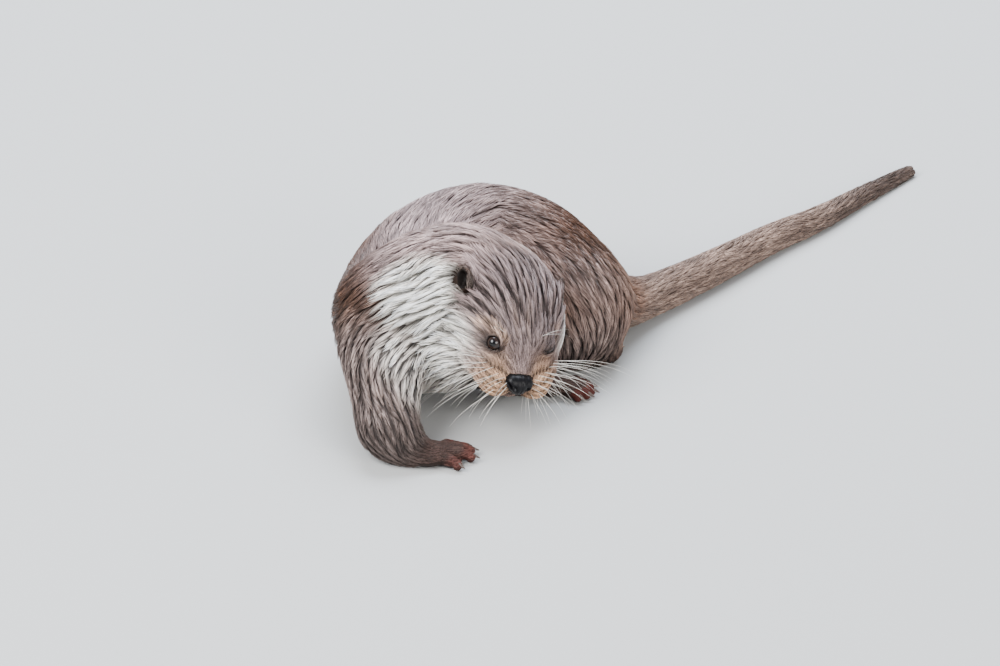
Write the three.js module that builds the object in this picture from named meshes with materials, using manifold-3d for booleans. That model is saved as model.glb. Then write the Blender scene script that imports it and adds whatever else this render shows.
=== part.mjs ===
// A life-size Eurasian otter, crouched with its body curled round behind its lowered head and its tail
// trailing away along the ground. Millimetres, +Z up, the ground at z = 0. The otter's face looks along -Y
// and down, its shoulders are at -X, its rump and tail at +X.
//
// Each region of flesh is a smooth implicit shape made of bones (tapered capsules) and ellipsoids. It is
// meshed on a grid, trimmed flat at the ground, and parted from its neighbours by thin cuts.

import * as THREE from "three";
import { mergeVertices } from "three/addons/utils/BufferGeometryUtils.js";
import Module from "manifold-3d";

const wasm = await Module();
wasm.setup();

// ---------------------------------------------------------------- driving dimensions

const GAP = 0.3; // between neighbouring solids
const GROUND_REACH = 1200; // side of the cutting blocks, larger than the otter
const WELD = [0.05, 0.1, 0.02, 0.2, 0.01, 0.3, 0.005, 0.002, 0.5, 0.001, 0.0003];
const GRID_PHASES = [0, 0.23, 0.41, 0.67, 0.83, 0.11, 0.52, 0.74];

// Grid cell of each region's mesh.
const CELL = { trunk: 24, neck: 21, tail: 15, tailTip: 9.5, leg: 17, forepaw: 7, hindpaw: 8.5, head: 10.5 };

// Centre line of the body from the nape to the tail's root, with its radius, coat included.
const SPINE = [
  { at: [4, 96, 99], radius: 44 }, // nape
  { at: [-30, 91, 113], radius: 50 },
  { at: [-58, 72, 117], radius: 54 },
  { at: [-83, 60, 106], radius: 57 },
  { at: [-101, 66, 85], radius: 58 }, // shoulders
  { at: [-95, 106, 72], radius: 63 },
  { at: [-82, 156, 66], radius: 67 },
  { at: [-57, 204, 66], radius: 69 }, // end of the ribs
  { at: [-18, 231, 66], radius: 69 },
  { at: [22, 214, 64], radius: 67 }, // loins
  { at: [50, 180, 60], radius: 62 },
  { at: [70, 153, 54], radius: 55 }, // hips
  { at: [98, 176, 41], radius: 34 }, // tail root
];
const SPINE_CUTS = { neckBack: 3.4, ribsEnd: 7, loinsEnd: 10, rumpEnd: 11.75 };

// The throat hangs between the chest and the jaw.
const THROAT = [
  { at: [-84, 44, 64], radius: 46 },
  { at: [-44, 36, 61], radius: 36 },
  { at: [-14, 44, 68], radius: 31 },
];

// Centre line of the tail. Its lowest points lie on the ground.
const TAIL = [
  { at: [70, 153, 54], radius: 55 },
  { at: [98, 176, 41], radius: 34 },
  { at: [120, 200, 28], radius: 27 },
  { at: [143, 226, 20], radius: 22.5 },
  { at: [182, 265, 17.5], radius: 20.5 },
  { at: [226, 313, 15.5], radius: 18.5 },
  { at: [271, 364, 13.5], radius: 16.5 },
  { at: [318, 410, 11], radius: 14 },
  { at: [366, 468, 8], radius: 10.8 },
  { at: [422, 533, 4.6], radius: 6.8 },
];
const TAIL_CUTS = { baseEnd: 3.6, middleEnd: 6 };
const SPINE_SAMPLES = 36;
const TAIL_SAMPLES = 36;
const NECK_SAMPLES = 14;
const LEG_SAMPLES = 10;
const OVERSHOOT = 0.8; // stations that a length runs on past its cuts
const THROAT_SAMPLES = 8;
const THROAT_BLEND = 16;

// The head's own frame. Its origin is the tip of the nose, x runs to the otter's left, y forward and z to
// the crown.
const HEAD = { nose: [18, -19, 50], heading: -82.5, pitch: -38, roll: 20, scale: 1.06 };

// Eyeballs, ears and nose leather in the head's frame.
const EYE = { at: [25, -38.5, 11.5], half: [7, 7, 7] };
const EARS = { left: [45.5, -95, 12], right: [-50, -95, 16.5], half: [8, 5, 11.5] };
const NOSE = { at: [0, -5.5, 0], half: [12.6, 9.5, 9.5] };

// Flesh of the head, as ellipsoids in its frame. A pair is mirrored on the other side.
const SKULL = [
  { at: [0, -84, 0], half: [52.5, 44, 33] }, // braincase
  { at: [0, -52, 1], half: [35, 31, 22] }, // forehead
  { at: [0, -25, -1.5], half: [17.5, 21, 12.5] }, // bridge of the nose
  { at: [17.5, -14, -9], half: [17.5, 16.5, 12], pair: true }, // whisker pads
  { at: [24.5, -33, -9], half: [20, 23, 16.5], pair: true }, // upper lips
  { at: [27, -64, -9], half: [27.5, 34, 26], pair: true }, // cheeks
  { at: [21, -46, 13.5], half: [10.5, 12, 8], pair: true }, // brows
  { at: [0, -100, -8], half: [46, 38, 40] }, // throat and nape
];
const JAW = [
  { at: [0, -18, -21.5], half: [13, 15, 8.5] }, // chin
  { at: [0, -40, -23], half: [22, 28, 13] },
  { at: [0, -70, -26], half: [30, 34, 20] },
];
const HEAD_BLEND = 8;

// Legs: centre lines from the body down to the wrist or ankle.
const LEGS = {
  fore_right: {
    upper: [
      { at: [-106, 30, 70], radius: 47 },
      { at: [-107, -14, 56], radius: 35 },
      { at: [-104, -52, 32], radius: 29 },
    ],
    lower: [
      { at: [-104, -53, 30], radius: 28 },
      { at: [-93, -61, 20], radius: 20 },
      { at: [-80, -67, 14], radius: 14.5 },
    ],
  },
  fore_left: {
    upper: [
      { at: [-58, 50, 68], radius: 46 },
      { at: [-32, 58, 50], radius: 34 },
      { at: [-10, 64, 34], radius: 25 },
    ],
    lower: [
      { at: [-10, 64, 33], radius: 24 },
      { at: [10, 67, 21], radius: 18 },
      { at: [30, 68, 14], radius: 14 },
    ],
  },
  hind_left: {
    upper: [
      { at: [80, 148, 54], radius: 46 },
      { at: [78, 132, 43], radius: 43 },
      { at: [64, 118, 34], radius: 33 },
    ],
    lower: [
      { at: [64, 118, 30], radius: 26 },
      { at: [82, 124, 22], radius: 18 },
      { at: [102, 132, 14], radius: 13 },
    ],
  },
  hind_right: {
    upper: [
      { at: [76, 178, 54], radius: 45 },
      { at: [68, 215, 45], radius: 39 },
      { at: [54, 250, 34], radius: 29 },
    ],
    lower: [
      { at: [54, 250, 33], radius: 27 },
      { at: [84, 243, 23], radius: 18 },
      { at: [104, 231, 15], radius: 13 },
    ],
  },
};
const KNEE_BLEND = 8;

// Paws. The heading is in degrees from +X. Toes run from the otter's inner side to its outer side.
const FORE_TOES = { lengths: [16, 20, 22, 21, 17], base: 11, tip: 5.2 };
const HIND_TOES = { lengths: [26, 34, 37, 36, 30], base: 14, tip: 5.8 };
const PAWS = {
  fore_right: {
    wrist: [-80, -67, 14], palm: [-66, -66, 9], heading: 12, spread: [62, 30, 8, -22, -74],
    palmHalf: [20, 18, 11], toes: FORE_TOES,
  },
  fore_left: {
    wrist: [30, 68, 14], palm: [46, 67, 9], heading: -8, spread: [-44, -22, -2, 20, 46],
    palmHalf: [20, 17, 11], toes: FORE_TOES,
  },
  hind_left: {
    wrist: [104, 133, 13], palm: [70, 126, 9], heading: 188, spread: [40, 20, 2, -17, -38],
    palmHalf: [33, 19, 11], toes: HIND_TOES,
  },
  hind_right: {
    wrist: [106, 230, 14], palm: [75, 250, 9], heading: 148, spread: [-40, -20, -2, 17, 38],
    palmHalf: [33, 19, 11], toes: HIND_TOES,
  },
};
const TOE_BLEND = 5;
const WEB_THICKNESS = 5;
const CLAW = { length: 7.5, radius: 1.9, sides: 6, droop: 26 };

const COLOURS = {
  back: 0x6d5848,
  flank: 0x7a6352,
  neck: 0x85776b,
  head: 0x7d7069,
  tail: 0x76604c,
  paw: 0x54443d,
  claw: 0x3a302b,
  eye: 0x120e0c,
  nose: 0x2a2529,
};

// ---------------------------------------------------------------- vectors and frames

const vector = (xyz) => new THREE.Vector3(...xyz);
const radians = THREE.MathUtils.degToRad;
const mix = THREE.MathUtils.lerp;

// The left, forward and up directions for a heading and pitch, then a roll about the forward one.
function frameOf({ heading, pitch, roll }) {
  const forward = new THREE.Vector3(
    Math.cos(radians(pitch)) * Math.cos(radians(heading)),
    Math.cos(radians(pitch)) * Math.sin(radians(heading)),
    Math.sin(radians(pitch)),
  );
  const levelLeft = new THREE.Vector3(0, 0, 1).cross(forward).normalize();
  const levelUp = forward.clone().cross(levelLeft);
  const turn = radians(roll);
  const up = levelUp.clone().multiplyScalar(Math.cos(turn)).addScaledVector(levelLeft, Math.sin(turn));
  const left = levelLeft.clone().multiplyScalar(Math.cos(turn)).addScaledVector(levelUp, -Math.sin(turn));
  return { left, forward, up };
}

const headFrame = frameOf(HEAD);
const headOrigin = vector(HEAD.nose);

function fromHead([x, y, z]) {
  return headOrigin
    .clone()
    .addScaledVector(headFrame.left, x * HEAD.scale)
    .addScaledVector(headFrame.forward, y * HEAD.scale)
    .addScaledVector(headFrame.up, z * HEAD.scale);
}

const mirrored = (part) => ({ ...part, at: [-part.at[0], part.at[1], part.at[2]] });

// ---------------------------------------------------------------- implicit shapes

// Distance to a tapered capsule.
function boneField(bone) {
  const along = bone.to.clone().sub(bone.from);
  const lengthSquared = along.lengthSq();
  const offset = new THREE.Vector3();
  return (p) => {
    offset.copy(p).sub(bone.from);
    const t = THREE.MathUtils.clamp(offset.dot(along) / lengthSquared, 0, 1);
    return offset.addScaledVector(along, -t).length() - mix(bone.fromRadius, bone.toRadius, t);
  };
}

// Distance to an ellipsoid whose axes lie along a frame, close to exact near its surface.
function ellipsoidField(centre, axes, half) {
  const offset = new THREE.Vector3();
  return (p) => {
    offset.copy(p).sub(centre);
    const scaled = axes.map((axis, i) => offset.dot(axis) / half[i]);
    const reach = Math.hypot(...scaled);
    const slope = Math.hypot(...scaled.map((s, i) => s / half[i]));
    return slope > 1e-9 ? (reach * (reach - 1)) / slope : -Math.min(...half);
  };
}

function smoothUnion(a, b, blend) {
  const overlap = Math.max(blend - Math.abs(a - b), 0) / blend;
  return Math.min(a, b) - (overlap * overlap * blend) / 4;
}

const union = (fields, blend) => (p) =>
  fields.reduce((least, field) => (least === null ? field(p) : smoothUnion(least, field(p), blend)), null);

// A smooth curve through stations, with the radius running smoothly between them.
function centreLine(stations) {
  const places = stations.map((s) => vector(s.at));
  const sizes = stations.map((s, i) => new THREE.Vector3(i, s.radius, 0));
  const curve = new THREE.CatmullRomCurve3(places, false, "centripetal");
  const radii = new THREE.CatmullRomCurve3(sizes, false, "catmullrom", 0.5);
  const last = stations.length - 1;
  return {
    point: (station) => curve.getPoint(station / last),
    tangent: (station) => curve.getTangent(station / last),
    radius: (station) => radii.getPoint(station / last).y,
    last,
  };
}

// The bones along a centre line between two stations.
function bonesAlong(line, first, last, samples) {
  return Array.from({ length: samples }, (_, i) => {
    const a = mix(first, last, i / samples);
    const b = mix(first, last, (i + 1) / samples);
    const [from, to] = [line.point(a), line.point(b)];
    return boneField({ from, to, fromRadius: line.radius(a), toRadius: line.radius(b) });
  });
}

// ---------------------------------------------------------------- meshing

// A closed mesh of the space where field(p) < 0 inside a box, by surface nets on a cubic grid. Each cell
// that the surface crosses has one vertex, moved onto the surface, and each grid edge it crosses has one
// quad. The phase shifts the grid by a share of a cell.
function meshOf({ field, box, cell }, phase) {
  const low = box.min.clone().subScalar(cell * (1.5 + phase));
  const count = box.max.clone().addScalar(cell * 1.5).sub(low).divideScalar(cell).ceil().addScalar(1);
  const [nx, ny, nz] = count.toArray();
  const index = (x, y, z) => (z * ny + y) * nx + x;
  const place = (x, y, z) => new THREE.Vector3(x, y, z).multiplyScalar(cell).add(low);
  const atEnd = (i, n) => i === 0 || i === n - 1;
  const outside = (x, y, z) => atEnd(x, nx) || atEnd(y, ny) || atEnd(z, nz);
  const values = new Float32Array(nx * ny * nz);
  for (let z = 0; z < nz; z++)
    for (let y = 0; y < ny; y++)
      for (let x = 0; x < nx; x++)
        values[index(x, y, z)] = outside(x, y, z) ? cell : field(place(x, y, z));

  const corners = [0, 1, 2, 3, 4, 5, 6, 7].map((c) => [c & 1, (c >> 1) & 1, c >> 2]);
  const apart = (a, b) => Math.abs(a[0] - b[0]) + Math.abs(a[1] - b[1]) + Math.abs(a[2] - b[2]);
  const edges = corners.flatMap((a, i) =>
    corners.slice(i + 1).flatMap((b) => (apart(a, b) === 1 ? [[a, b]] : [])),
  );
  const cellVertex = new Int32Array(nx * ny * nz).fill(-1);
  const positions = [];
  for (let z = 0; z < nz - 1; z++)
    for (let y = 0; y < ny - 1; y++)
      for (let x = 0; x < nx - 1; x++) {
        const sum = new THREE.Vector3();
        let crossings = 0;
        for (const [a, b] of edges) {
          const va = values[index(x + a[0], y + a[1], z + a[2])];
          const vb = values[index(x + b[0], y + b[1], z + b[2])];
          if (va < 0 === vb < 0) continue;
          const t = va / (va - vb);
          sum.add(new THREE.Vector3(mix(a[0], b[0], t), mix(a[1], b[1], t), mix(a[2], b[2], t)));
          crossings++;
        }
        if (!crossings) continue;
        cellVertex[index(x, y, z)] = positions.length / 3;
        const inCell = sum.divideScalar(crossings).add(new THREE.Vector3(x, y, z));
        positions.push(...onSurface(field, inCell.multiplyScalar(cell).add(low), cell).toArray());
      }

  const triangles = [];
  const quad = (a, b, c, d, flip) =>
    flip ? triangles.push(a, c, b, a, d, c) : triangles.push(a, b, c, a, c, d);
  for (let z = 1; z < nz - 1; z++)
    for (let y = 1; y < ny - 1; y++)
      for (let x = 1; x < nx - 1; x++) {
        const here = values[index(x, y, z)] < 0;
        const at = (dx, dy, dz) => cellVertex[index(x + dx, y + dy, z + dz)];
        const crosses = (dx, dy, dz) => values[index(x + dx, y + dy, z + dz)] < 0 !== here;
        if (crosses(1, 0, 0)) quad(at(0, -1, -1), at(0, 0, -1), at(0, 0, 0), at(0, -1, 0), !here);
        if (crosses(0, 1, 0)) quad(at(-1, 0, -1), at(-1, 0, 0), at(0, 0, 0), at(0, 0, -1), !here);
        if (crosses(0, 0, 1)) quad(at(-1, -1, 0), at(0, -1, 0), at(0, 0, 0), at(-1, 0, 0), !here);
      }
  const vertProperties = new Float32Array(positions);
  const triVerts = new Uint32Array(triangles);
  return new wasm.Manifold(new wasm.Mesh({ numProp: 3, vertProperties, triVerts }));
}

// One step from a point to the surface, no longer than a third of a cell.
function onSurface(field, p, cell) {
  const step = cell * 0.05;
  const value = field(p);
  const slope = new THREE.Vector3(
    field(p.clone().add(new THREE.Vector3(step, 0, 0))) - value,
    field(p.clone().add(new THREE.Vector3(0, step, 0))) - value,
    field(p.clone().add(new THREE.Vector3(0, 0, step))) - value,
  ).divideScalar(step);
  const move = THREE.MathUtils.clamp(-value / Math.max(slope.length(), 0.2), -cell / 3, cell / 3);
  return p.addScaledVector(slope.normalize(), move);
}

// ---------------------------------------------------------------- solids

function solidOf(geometry) {
  const bare = geometry.clone().deleteAttribute("normal").deleteAttribute("uv");
  const merged = mergeVertices(bare, 1e-4);
  return new wasm.Manifold(
    new wasm.Mesh({
      numProp: 3,
      vertProperties: new Float32Array(merged.attributes.position.array),
      triVerts: new Uint32Array(merged.index.array),
    }),
  );
}

function geometryOf(solid) {
  const mesh = solid.getMesh();
  const positions = new Float32Array(mesh.numVert * 3);
  for (let i = 0; i < mesh.numVert; i++)
    positions.set(mesh.vertProperties.subarray(i * mesh.numProp, i * mesh.numProp + 3), i * 3);
  const geometry = new THREE.BufferGeometry();
  geometry.setAttribute("position", new THREE.BufferAttribute(positions, 3));
  geometry.setIndex(new THREE.BufferAttribute(new Uint32Array(mesh.triVerts), 1));
  geometry.computeVertexNormals();
  return geometry;
}

// The block of space ahead of a plane.
function ahead({ point, direction }) {
  const block = new THREE.BoxGeometry(GROUND_REACH, GROUND_REACH, GROUND_REACH);
  block.translate(0, 0, GROUND_REACH / 2);
  block.applyQuaternion(new THREE.Quaternion().setFromUnitVectors(new THREE.Vector3(0, 0, 1), direction));
  block.translate(...point.toArray());
  return solidOf(block);
}

const facing = (point, direction) => ({ point, direction: direction.clone().normalize() });
const turned = ({ point, direction }) => ({ point, direction: direction.clone().negate() });
const shifted = ({ point, direction }, by) => ({
  point: point.clone().addScaledVector(direction, by),
  direction,
});
const without = (solid, ...cutters) => cutters.reduce((left, cutter) => left.subtract(cutter), solid);
const aboveGround = ahead(facing(new THREE.Vector3(), new THREE.Vector3(0, 0, 1)));

// The largest body of a solid, without the crumbs that a cut may leave.
function largest(solid) {
  return solid.decompose().reduce((best, body) => (body.volume() > best.volume() ? body : best));
}

// Whether each edge of a triangle list is shared by just two triangles.
function isClosed(corners) {
  const uses = new Map();
  for (let t = 0; t < corners.length; t += 3)
    for (const [i, j] of [[0, 1], [1, 2], [2, 0]]) {
      const [a, b] = [corners[t + i], corners[t + j]];
      const edge = a < b ? `${a}-${b}` : `${b}-${a}`;
      uses.set(edge, (uses.get(edge) ?? 0) + 1);
    }
  return [...uses.values()].every((count) => count === 2);
}

// The solid with vertices that lie closer than a tolerance made one, and the faces that this closes up
// dropped. The tolerance is the first that leaves a closed solid.
function welded(solid) {
  for (const tolerance of WELD) {
    const merged = mergeVertices(geometryOf(solid).deleteAttribute("normal"), tolerance);
    const corners = merged.index.array;
    const kept = [];
    for (let t = 0; t < corners.length; t += 3) {
      const [a, b, c] = corners.subarray(t, t + 3);
      if (a !== b && b !== c && c !== a) kept.push(a, b, c);
    }
    if (!isClosed(kept)) continue;
    const vertProperties = new Float32Array(merged.attributes.position.array);
    const triVerts = new Uint32Array(kept);
    const closed = new wasm.Manifold(new wasm.Mesh({ numProp: 3, vertProperties, triVerts }));
    if (closed.decompose().length === 1) return closed;
  }
  throw new Error("no tolerance leaves one closed solid");
}

// Finished solids by name, and what each takes away from the solids placed after it: its own whole shape,
// larger by the gap.
const placed = new Map();

function place(name, solid, cutter) {
  const neighbours = [...placed.values()].map((other) => other.cutter);
  const body = welded(largest(without(solid.intersect(aboveGround), ...neighbours)));
  placed.set(name, { body, cutter });
}

// Places the shape that an implicit field bounds, less what lies ahead of each of the planes. Where sheets
// of the surface touch, the mesh is not closed, and it is made again on a shifted grid.
function placeShape(name, shape, ...planes) {
  const cutAhead = (solid, by) => without(solid, ...planes.map((plane) => ahead(shifted(plane, by))));
  for (const phase of GRID_PHASES) {
    try {
      const mesh = meshOf(shape, phase);
      const larger = meshOf({ ...shape, field: (p) => shape.field(p) - GAP }, phase).add(mesh);
      return place(name, cutAhead(mesh, -GAP / 2), cutAhead(larger, GAP / 4));
    } catch (error) {
      if (phase === GRID_PHASES.at(-1)) throw error;
    }
  }
}

function boxAround(points, margin) {
  return new THREE.Box3().setFromPoints(points).expandByScalar(margin);
}

function stationBox(line, first, last) {
  const box = new THREE.Box3();
  for (let s = first; s <= last + 1e-6; s += (last - first) / 12)
    box.union(boxAround([line.point(s)], line.radius(s) + 4));
  return box;
}

// A length of a centre line, run on past both ends to where planes cut it.
function lengthOf(line, first, last, samples, cell) {
  const start = Math.max(first - OVERSHOOT, 0);
  const end = Math.min(last + OVERSHOOT, line.last);
  const field = union(bonesAlong(line, start, end, samples), 1);
  return { field, box: stationBox(line, start, end), cell };
}

// ---------------------------------------------------------------- the body

const spine = centreLine(SPINE);
const tail = centreLine(TAIL);
const across = (line, station) => facing(line.point(station), line.tangent(station));

function placeTrunk() {
  const { neckBack, ribsEnd, loinsEnd, rumpEnd } = SPINE_CUTS;
  const lengths = [
    ["thorax", neckBack, ribsEnd],
    ["loins", ribsEnd, loinsEnd],
    ["rump", loinsEnd, rumpEnd],
  ];
  for (const [name, first, last] of lengths) {
    const shape = lengthOf(spine, first, last, SPINE_SAMPLES / 2, CELL.trunk);
    placeShape(name, shape, turned(across(spine, first)), across(spine, last));
  }
}

// The neck, with the throat below it.
function placeNeck() {
  const throat = centreLine(THROAT);
  const end = SPINE_CUTS.neckBack + OVERSHOOT;
  const above = union(bonesAlong(spine, 0, end, NECK_SAMPLES), 1);
  const below = union(bonesAlong(throat, 0, throat.last, THROAT_SAMPLES), 1);
  const box = stationBox(spine, 0, end).union(stationBox(throat, 0, throat.last));
  const shape = { field: union([above, below], THROAT_BLEND), box, cell: CELL.neck };
  placeShape("neck", shape, across(spine, SPINE_CUTS.neckBack));
}

function placeTail() {
  const { baseEnd, middleEnd } = TAIL_CUTS;
  const piece = (first, last, cell) => lengthOf(tail, first, last, TAIL_SAMPLES / 2, cell);
  const rumpEnd = across(spine, SPINE_CUTS.rumpEnd);
  const base = across(tail, baseEnd);
  const middle = across(tail, middleEnd);
  placeShape("tail_base", piece(1, baseEnd, CELL.tail), turned(rumpEnd), base);
  placeShape("tail_middle", piece(baseEnd, middleEnd, CELL.tail), turned(base), middle);
  placeShape("tail_tip", piece(middleEnd, tail.last, CELL.tailTip), turned(middle));
}

function headEllipsoids(parts) {
  const axes = [headFrame.left, headFrame.forward, headFrame.up];
  const all = parts.flatMap((part) => (part.pair ? [part, mirrored(part)] : [part]));
  return all.map(({ at, half }) => ellipsoidField(fromHead(at), axes, half.map((h) => h * HEAD.scale)));
}

// An ellipsoid whose axes are the three directions of a frame, the last being where its poles lie.
function placeBall(name, centre, [side, front, pole], half) {
  const rightHanded = side.clone().cross(front).dot(pole) > 0;
  const axes = new THREE.Matrix4().makeBasis(rightHanded ? side : side.clone().negate(), front, pole);
  const ball = (gap) =>
    solidOf(
      new THREE.SphereGeometry(1, 14, 8)
        .rotateX(Math.PI / 2)
        .scale(...half.map((h) => h * HEAD.scale + gap))
        .applyMatrix4(axes)
        .translate(...centre.toArray()),
    );
  place(name, ball(0), ball(GAP * 1.5));
}

// A small round ear. Its flap leans back along the side of the head, and its cup opens outwards.
function placeEar(name, side, at) {
  const inHead = (x, y, z) =>
    headFrame.left
      .clone()
      .multiplyScalar(side * x)
      .addScaledVector(headFrame.forward, y)
      .addScaledVector(headFrame.up, z)
      .normalize();
  const outward = inHead(0.083, -0.91, 0.406);
  const across = outward.clone().cross(inHead(0.857, 0.239, 0.362)).normalize();
  const front = across.clone().cross(outward).normalize();
  placeBall(name, fromHead(at), [across, front, outward], EARS.half);
}

function placeHead() {
  const axes = [headFrame.left, headFrame.forward, headFrame.up];
  placeBall("eye_left", fromHead(EYE.at), axes, EYE.half);
  placeBall("eye_right", fromHead(mirrored(EYE).at), axes, EYE.half);
  placeBall("nose", fromHead(NOSE.at), axes, NOSE.half);
  const field = union(headEllipsoids([...SKULL, ...JAW]), HEAD_BLEND);
  const corners = [-62, 62].flatMap((x) =>
    [-150, 6].flatMap((y) => [-62, 44].map((z) => fromHead([x, y, z]))),
  );
  placeShape("head", { field, box: boxAround(corners, 0), cell: CELL.head });
  placeEar("ear_left", 1, EARS.left);
  placeEar("ear_right", -1, EARS.right);
}

// ---------------------------------------------------------------- legs and paws

function legShape(stations) {
  const line = centreLine(stations);
  const field = union(bonesAlong(line, 0, line.last, LEG_SAMPLES), KNEE_BLEND);
  return { field, box: stationBox(line, 0, line.last), cell: CELL.leg };
}

// Where a toe starts and ends. The paw is flat on the ground, its toes fanned from the front of the palm.
function toesOf({ palm, palmHalf, heading, spread, toes }) {
  const flat = (degrees) => new THREE.Vector3(Math.cos(radians(degrees)), Math.sin(radians(degrees)), 0);
  const knuckles = vector(palm).addScaledVector(flat(heading), palmHalf[0] * 0.45);
  return spread.map((angle, i) => {
    const way = flat(heading + angle * 0.62);
    const root = knuckles.clone().addScaledVector(flat(heading + angle * 1.05), toes.base * 0.85);
    const length = toes.lengths[i];
    const joint = root.clone().addScaledVector(way, length * 0.55).setZ(9.5);
    const end = root.clone().addScaledVector(way, length).setZ(toes.tip + 0.6);
    return { root: root.setZ(9), joint, end, way };
  });
}

function pawShape(paw, cell) {
  const { wrist, palm, palmHalf, heading, toes } = paw;
  const way = new THREE.Vector3(Math.cos(radians(heading)), Math.sin(radians(heading)), 0);
  const side = new THREE.Vector3(-way.y, way.x, 0);
  const up = new THREE.Vector3(0, 0, 1);
  const fan = toesOf(paw);
  const pad = ellipsoidField(vector(palm), [way, side, up], palmHalf);
  const cuff = boneField({ from: vector(wrist), to: vector(palm), fromRadius: 13.5, toRadius: 10 });
  const digits = fan.flatMap(({ root, joint, end }) => [
    boneField({ from: root, to: joint, fromRadius: toes.tip + 0.8, toRadius: toes.tip + 0.2 }),
    boneField({ from: joint, to: end, fromRadius: toes.tip + 0.2, toRadius: toes.tip }),
  ]);
  const webs = fan.slice(1).map((toe, i) => {
    const near = [toe.root, toe.joint, fan[i].root, fan[i].joint];
    const sum = near.reduce((total, point) => total.add(point), new THREE.Vector3());
    const middle = sum.multiplyScalar(0.25).setZ(5);
    const half = toe.joint.distanceTo(fan[i].joint) / 2 + 4;
    return ellipsoidField(middle, [way, side, up], [half, half, WEB_THICKNESS]);
  });
  const field = union([pad, cuff, ...digits, ...webs], TOE_BLEND);
  const box = boxAround([vector(wrist), vector(palm), ...fan.flatMap((t) => [t.root, t.end])], 24);
  return { field, box, cell };
}

// A short claw that starts inside the end of a toe and points down a little.
function clawSolid({ end, way }) {
  const cone = new THREE.CylinderGeometry(0.5, CLAW.radius, CLAW.length, CLAW.sides, 1);
  const lean = way.clone().setZ(-Math.tan(radians(CLAW.droop))).normalize();
  cone.applyQuaternion(new THREE.Quaternion().setFromUnitVectors(new THREE.Vector3(0, 1, 0), lean));
  const middle = end.clone().addScaledVector(way, 5.2).setZ(end.z + 0.6);
  return solidOf(cone.translate(...middle.toArray()));
}

function placeLeg(name) {
  const { upper, lower } = LEGS[name];
  const [end, side] = name.split("_");
  const names = end === "fore" ? ["upper_arm", "forearm", "forepaw"] : ["thigh", "shank", "hindpaw"];
  const [thigh, shank, foot] = names.map((part) => `${part}_${side}`);
  const paw = PAWS[name];
  const wrist = vector(paw.wrist);
  const knee = vector(lower[0].at);
  const down = vector(lower[1].at).sub(vector(upper[1].at));
  placeShape(foot, pawShape(paw, CELL[names[2]]), facing(wrist, wrist.clone().sub(vector(paw.palm))));
  placeShape(thigh, legShape(upper), facing(knee, down));
  placeShape(shank, legShape(lower));
}

function placeClaws(name) {
  toesOf(PAWS[name]).forEach((toe, i) => {
    const claw = clawSolid(toe);
    place(`claw_${name}_${i + 1}`, claw, claw);
  });
}

// ---------------------------------------------------------------- assembly

function materialOf(name) {
  const rules = [
    [/^claw/, "claw", 0.45],
    [/^eye/, "eye", 0.06],
    [/^nose/, "nose", 0.35],
    [/paw/, "paw", 0.7],
    [/^tail/, "tail", 0.7],
    [/^(head|ear)/, "head", 0.8],
    [/^neck/, "neck", 0.8],
    [/^(loins|rump|thigh|shank)/, "back", 0.75],
    [/./, "flank", 0.75],
  ];
  const [, key, roughness] = rules.find(([pattern]) => pattern.test(name));
  return new THREE.MeshStandardMaterial({ color: COLOURS[key], roughness, metalness: 0 });
}

placeTrunk();
placeHead();
placeNeck();
placeTail();
Object.keys(LEGS).forEach(placeLeg);
Object.keys(PAWS).forEach(placeClaws);

const otter = new THREE.Group();
for (const [name, { body }] of placed) {
  const mesh = new THREE.Mesh(geometryOf(body), materialOf(name));
  mesh.name = name;
  otter.add(mesh);
}

// The origin is the middle of the otter's box, on the ground.
const extent = new THREE.Box3().setFromObject(otter);
const centre = extent.getCenter(new THREE.Vector3());
otter.position.set(-centre.x, -centre.y, 0);

export default otter;
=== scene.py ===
# A life-size Eurasian otter: a skin over the frame's flesh, a coat of solid strands, eyes, nose and whiskers.
# Shapes are worked out in millimetres in the body's own frame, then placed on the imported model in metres.

import bpy
import math
import numpy as np
import openvdb
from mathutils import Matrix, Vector, kdtree
from mathutils.bvhtree import BVHTree


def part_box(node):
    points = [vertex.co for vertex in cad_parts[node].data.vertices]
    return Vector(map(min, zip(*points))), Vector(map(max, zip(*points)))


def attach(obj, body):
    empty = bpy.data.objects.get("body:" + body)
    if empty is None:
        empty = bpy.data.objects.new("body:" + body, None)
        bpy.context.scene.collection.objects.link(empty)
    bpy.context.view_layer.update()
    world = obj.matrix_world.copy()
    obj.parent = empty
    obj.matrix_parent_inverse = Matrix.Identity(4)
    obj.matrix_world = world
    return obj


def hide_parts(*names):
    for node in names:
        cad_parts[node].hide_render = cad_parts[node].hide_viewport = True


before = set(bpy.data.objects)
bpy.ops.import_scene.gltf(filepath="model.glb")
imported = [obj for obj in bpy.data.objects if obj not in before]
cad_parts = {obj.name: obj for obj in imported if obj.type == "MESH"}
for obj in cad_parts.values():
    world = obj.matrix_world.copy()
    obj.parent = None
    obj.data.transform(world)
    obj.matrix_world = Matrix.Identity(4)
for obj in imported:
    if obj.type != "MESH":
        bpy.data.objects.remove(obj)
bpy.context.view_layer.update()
rng = np.random.default_rng(20)

# ---------------------------------------------------------------- stations of the body, as in the solids

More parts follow.
